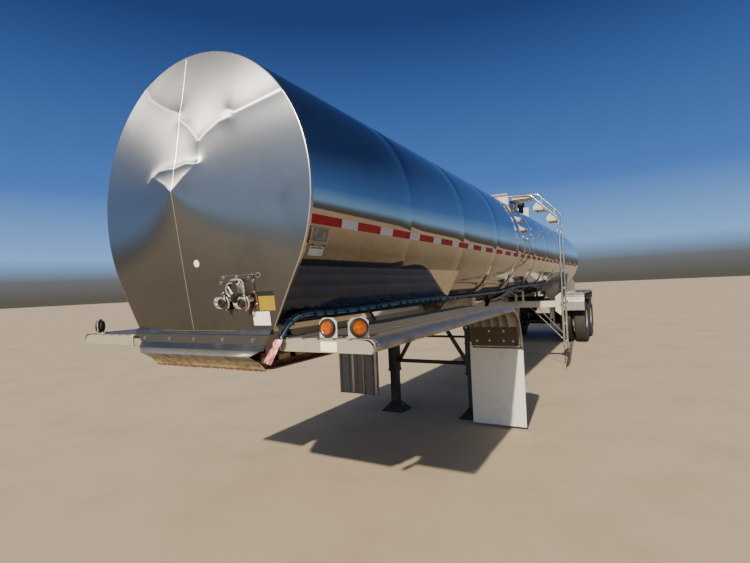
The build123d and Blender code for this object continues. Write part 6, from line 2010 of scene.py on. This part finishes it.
@dataclass
class RearEnd:
    """Fittings round the running gear and the bumper: ridges, markers, tape, lamp lenses and bolts."""

    trailer: Trailer
    fender_front: float = 10.43
    fender_top: float = 1.30
    fender_bend: float = 0.23
    bumper_station: float = 13.2
    bumper_half: float = 1.18
    bumper_z: tuple[float, float] = (0.48, 0.60)

    def build(self) -> None:
        """Build the fenders' ridges, the markers, the bumper's tape and the lamps."""
        self.ridges()
        self.bumper()
        self.lamps()

    def ridges(self) -> None:
        """Press ridges along the fenders, with a side marker at each front corner."""
        kit = MeshKit("rear_fender_ridges", (WEATHERED_ALUMINIUM,))
        markers = MeshKit("rear_fender_markers", (AMBER_ACRYLIC, MOULDED_RUBBER))
        t = self.trailer
        front_x = t.x(self.fender_front)
        for side in (1, -1):
            for turn in map(math.radians, (14, 36, 58)):
                x = front_x - self.fender_bend + 0.232 * math.cos(turn)
                z = self.fender_top - self.fender_bend + 0.232 * math.sin(turn)
                kit.tube([(x, side * y, z) for y in (0.64, 1.20)], 0.011, 0, 10)
            for k in range(5):
                y = side * (0.70 + 0.105 * k)
                kit.tube([(front_x - back, y, self.fender_top) for back in (0.26, 2.34)], 0.006, 0, 10)
            place = Vector((front_x, side * 0.816, 1.070))
            ring = ((0.036, 0), (0.036, 0.008), (0.031, 0.010))
            lens = ((0.029, 0.006), (0.029, 0.012), (0.024, 0.016), (0.012, 0.018))
            markers.disc(place, FORWARD, ring, 30, 1)
            markers.disc(place, FORWARD, lens, 30, 0)
        kit.make(smooth_deg=50)
        markers.make(smooth_deg=30)

    def bumper(self) -> None:
        """Lay red and white film along the bumper, and bolt it to its posts."""
        kit = MeshKit("bumper_tape", (RED_FILM, WHITE_FILM, ZINC_PLATE))
        x = self.trailer.x(self.bumper_station)
        low = (self.bumper_z[0] + self.bumper_z[1] - self.trailer.tape_height) / 2
        high = low + self.trailer.tape_height
        y = -self.bumper_half + 0.02
        slot = 0
        while y < self.bumper_half - 0.03:
            width = min(self.trailer.film_length(slot), self.bumper_half - 0.02 - y)
            start, end = y + 0.001, y + width - 0.001
            outline = ((x, start, low), (x, end, low), (x, end, high), (x, start, high))
            kit.plate(outline, (-0.0006, 0, 0), slot)
            y += width
            slot = 1 - slot
        for side in (1, -1):
            for bolt_y in (0.45, 0.51):
                for bolt_z in (0.66, 0.74, 0.82):
                    hex_bolt(kit, (x + 0.010, side * bolt_y, bolt_z), BACKWARD, 0.022, 2)
        kit.make()

    def lamps(self) -> None:
        """Set round lamps in rubber rings into the tail lamp boxes."""
        kit = MeshKit("tail_lamp_lenses", (RED_ACRYLIC, MOULDED_RUBBER, WHITE_VINYL))
        x = self.trailer.x(self.bumper_station - 0.012)
        ring = ((0.058, 0), (0.060, 0.003), (0.056, 0.008), (0.051, 0.008))
        lens = ((0.051, 0.002), (0.050, 0.009), (0.042, 0.0105), (0.041, 0.0095), (0.030, 0.0115),
                (0.029, 0.0105), (0.015, 0.0120))
        for side in (1, -1):
            for y, slot in ((0.70, 0), (0.86, 2), (1.02, 0)):
                kit.disc((x, side * y, 0.73), BACKWARD, ring, 36, 1)
                kit.disc((x, side * y, 0.73), BACKWARD, lens, 36, slot)
        kit.make(smooth_deg=25)


@dataclass
class Studio:
    """The floor, the light, and the camera at the photograph's viewing angle, in radians."""

    camera_place: Point = (8.4045, 2.292, 1.6347)
    yaw: float = 0.5122
    pitch: float = -0.0128
    roll: float = 0.0445
    focal_px: float = 459.12
    frame_px: float = 750.0
    sensor_mm: float = 36.0
    to_sun: Point = (2.01, 0.18, 1.37)
    sun_strength: float = 8.0
    sun_soft_deg: float = 1.2
    sun_glow: tuple[float, float, float, float] = (1.1, 1.15, 1.1, 1.0)
    glow_power: float = 3.0
    # height of the direction and colour of the sky there
    sky_stops: tuple = ((0.0, "#5e5b52"), (0.035, "#6d7072"), (0.075, "#86b6ee"), (0.2, "#4c7bc8"),
                        (0.5, "#2a4077"), (1.0, "#1d2b49"))
    floor_half: float = 180.0

    def build(self) -> None:
        """Build the whole studio."""
        self.floor()
        self.sky()
        self.sun()
        self.camera()

    def floor(self) -> None:
        """Lay the plain pale floor."""
        half = self.floor_half
        corners = [(-half, -half, 0), (half, -half, 0), (half, half, 0), (-half, half, 0)]
        mesh = bpy.data.meshes.new("studio_floor")
        mesh.from_pydata(corners, [], [(0, 1, 2, 3)])
        floor = bpy.data.objects.new("studio_floor", mesh)
        bpy.context.scene.collection.objects.link(floor)
        # Pale screed: matt, with faint fine variation
        screed = Finish("pale_floor_screed", "#a5957b", "#97876d", roughness=0.85, stain_mm=900, grain_mm=18,
                        grain_depth=1.5)
        mesh.materials.append(screed.build())

    def sky(self) -> None:
        """Light the studio with a soft dome, darker overhead and pale low down."""
        world = bpy.data.worlds.new("studio_dome")
        bpy.context.scene.world = world
        world.use_nodes = True
        tree = world.node_tree
        tree.nodes.clear()
        direction = add_node(tree, "ShaderNodeTexCoord").outputs["Generated"]
        height = add_node(tree, "ShaderNodeSeparateXYZ", None, {"Vector": direction}).outputs[2]
        ramp = add_node(tree, "ShaderNodeValToRGB", None, {"Fac": height})
        while len(ramp.color_ramp.elements) < len(self.sky_stops):
            ramp.color_ramp.elements.new(0.5)
        for element, (place, colour) in zip(ramp.color_ramp.elements, self.sky_stops):
            element.position = place
            element.color = linear(colour)
        # the sky is paler round the sun, which the head's left half mirrors
        toward = add_node(tree, "ShaderNodeVectorMath", {"operation": "DOT_PRODUCT"},
                          {0: direction, 1: Vector(self.to_sun).normalized()}).outputs["Value"]
        near = add_node(tree, "ShaderNodeMapRange", None, {"Value": toward}).outputs[0]
        glow = add_node(tree, "ShaderNodeMath", {"operation": "POWER"}, {0: near, 1: self.glow_power})
        blend = {"data_type": "RGBA", "blend_type": "ADD", "clamp_result": False}
        colour = add_node(tree, "ShaderNodeMix", blend,
                          {"Factor": glow.outputs[0], 6: ramp.outputs[0], 7: self.sun_glow}).outputs[2]
        dome = add_node(tree, "ShaderNodeBackground", None, {"Color": colour, "Strength": 1.0})
        add_node(tree, "ShaderNodeOutputWorld", None, {"Surface": dome.outputs[0]})

    def sun(self) -> None:
        """Hang the one key light, softened, from the photograph's side."""
        light = bpy.data.lights.new("key_light", "SUN")
        light.energy = self.sun_strength
        light.angle = math.radians(self.sun_soft_deg)
        light.color = linear("#fff3e0")[:3]
        lamp = bpy.data.objects.new("key_light", light)
        bpy.context.scene.collection.objects.link(lamp)
        lamp.rotation_euler = Vector(self.to_sun).to_track_quat("Z", "Y").to_euler()

    def camera(self) -> None:
        """Set the camera that was solved from the photograph."""
        level = math.cos(self.pitch)
        forward = -Vector((math.cos(self.yaw) * level, math.sin(self.yaw) * level, math.sin(self.pitch)))
        right = forward.cross(UP).normalized()
        down = forward.cross(right)
        turn_cos, turn_sin = math.cos(self.roll), math.sin(self.roll)
        across = right * turn_cos + down * turn_sin
        below = down * turn_cos - right * turn_sin
        data = bpy.data.cameras.new("photo_camera")
        data.sensor_width = self.sensor_mm
        data.lens = self.focal_px / self.frame_px * self.sensor_mm
        data.clip_end = 500.0
        camera = bpy.data.objects.new("photo_camera", data)
        bpy.context.scene.collection.objects.link(camera)
        turned = Matrix((across, -below, -forward)).transposed().to_4x4()
        camera.matrix_world = Matrix.Translation(Vector(self.camera_place)) @ turned
        bpy.context.scene.camera = camera


def dress_nodes() -> None:
    """Give every CAD node its finish."""
    patterns = [(pattern, finish) for finish, names in DRESSED_NODES for pattern in names.split()]
    for name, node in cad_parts.items():
        finish = next(finish for pattern, finish in patterns if fnmatchcase(name, pattern))
        node.data.materials.clear()
        node.data.materials.append(finish.build())
        log.info("%s takes %s", name, finish.name)


def main() -> None:
    """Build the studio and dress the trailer."""
    logging.basicConfig(level=logging.INFO, format="%(name)s: %(message)s")
    Studio().build()
    dress_nodes()
    trailer = Trailer()
    head = FrontHead(trailer)
    head.build()
    ServicePanel(head).build()
    MarkerLamps(trailer).build()
    AirLoom(trailer).build()
    Coupler(trailer).build()
    Placard(trailer).build()
    ladder = Ladder(trailer)
    ladder.build()
    Steps(ladder).build()
    Outrigger(ladder).build()
    LandingGear(trailer).build()
    Manway(trailer).build()
    RearEnd(trailer).build()
    Barrel(trailer).build()
    Skirt(trailer).build()
    for side in (1, -1):
        FrontFender(trailer, side).build()
    wheels = (("front_left", Body.FRONT_LEFT, 1, 11.15), ("front_right", Body.FRONT_RIGHT, -1, 11.15),
              ("rear_left", Body.REAR_LEFT, 1, 12.395), ("rear_right", Body.REAR_RIGHT, -1, 12.395))
    for name, body, side, place in wheels:
        TwinWheel(trailer, name, body, side, place).build()


if __name__ == "__main__":
    main()
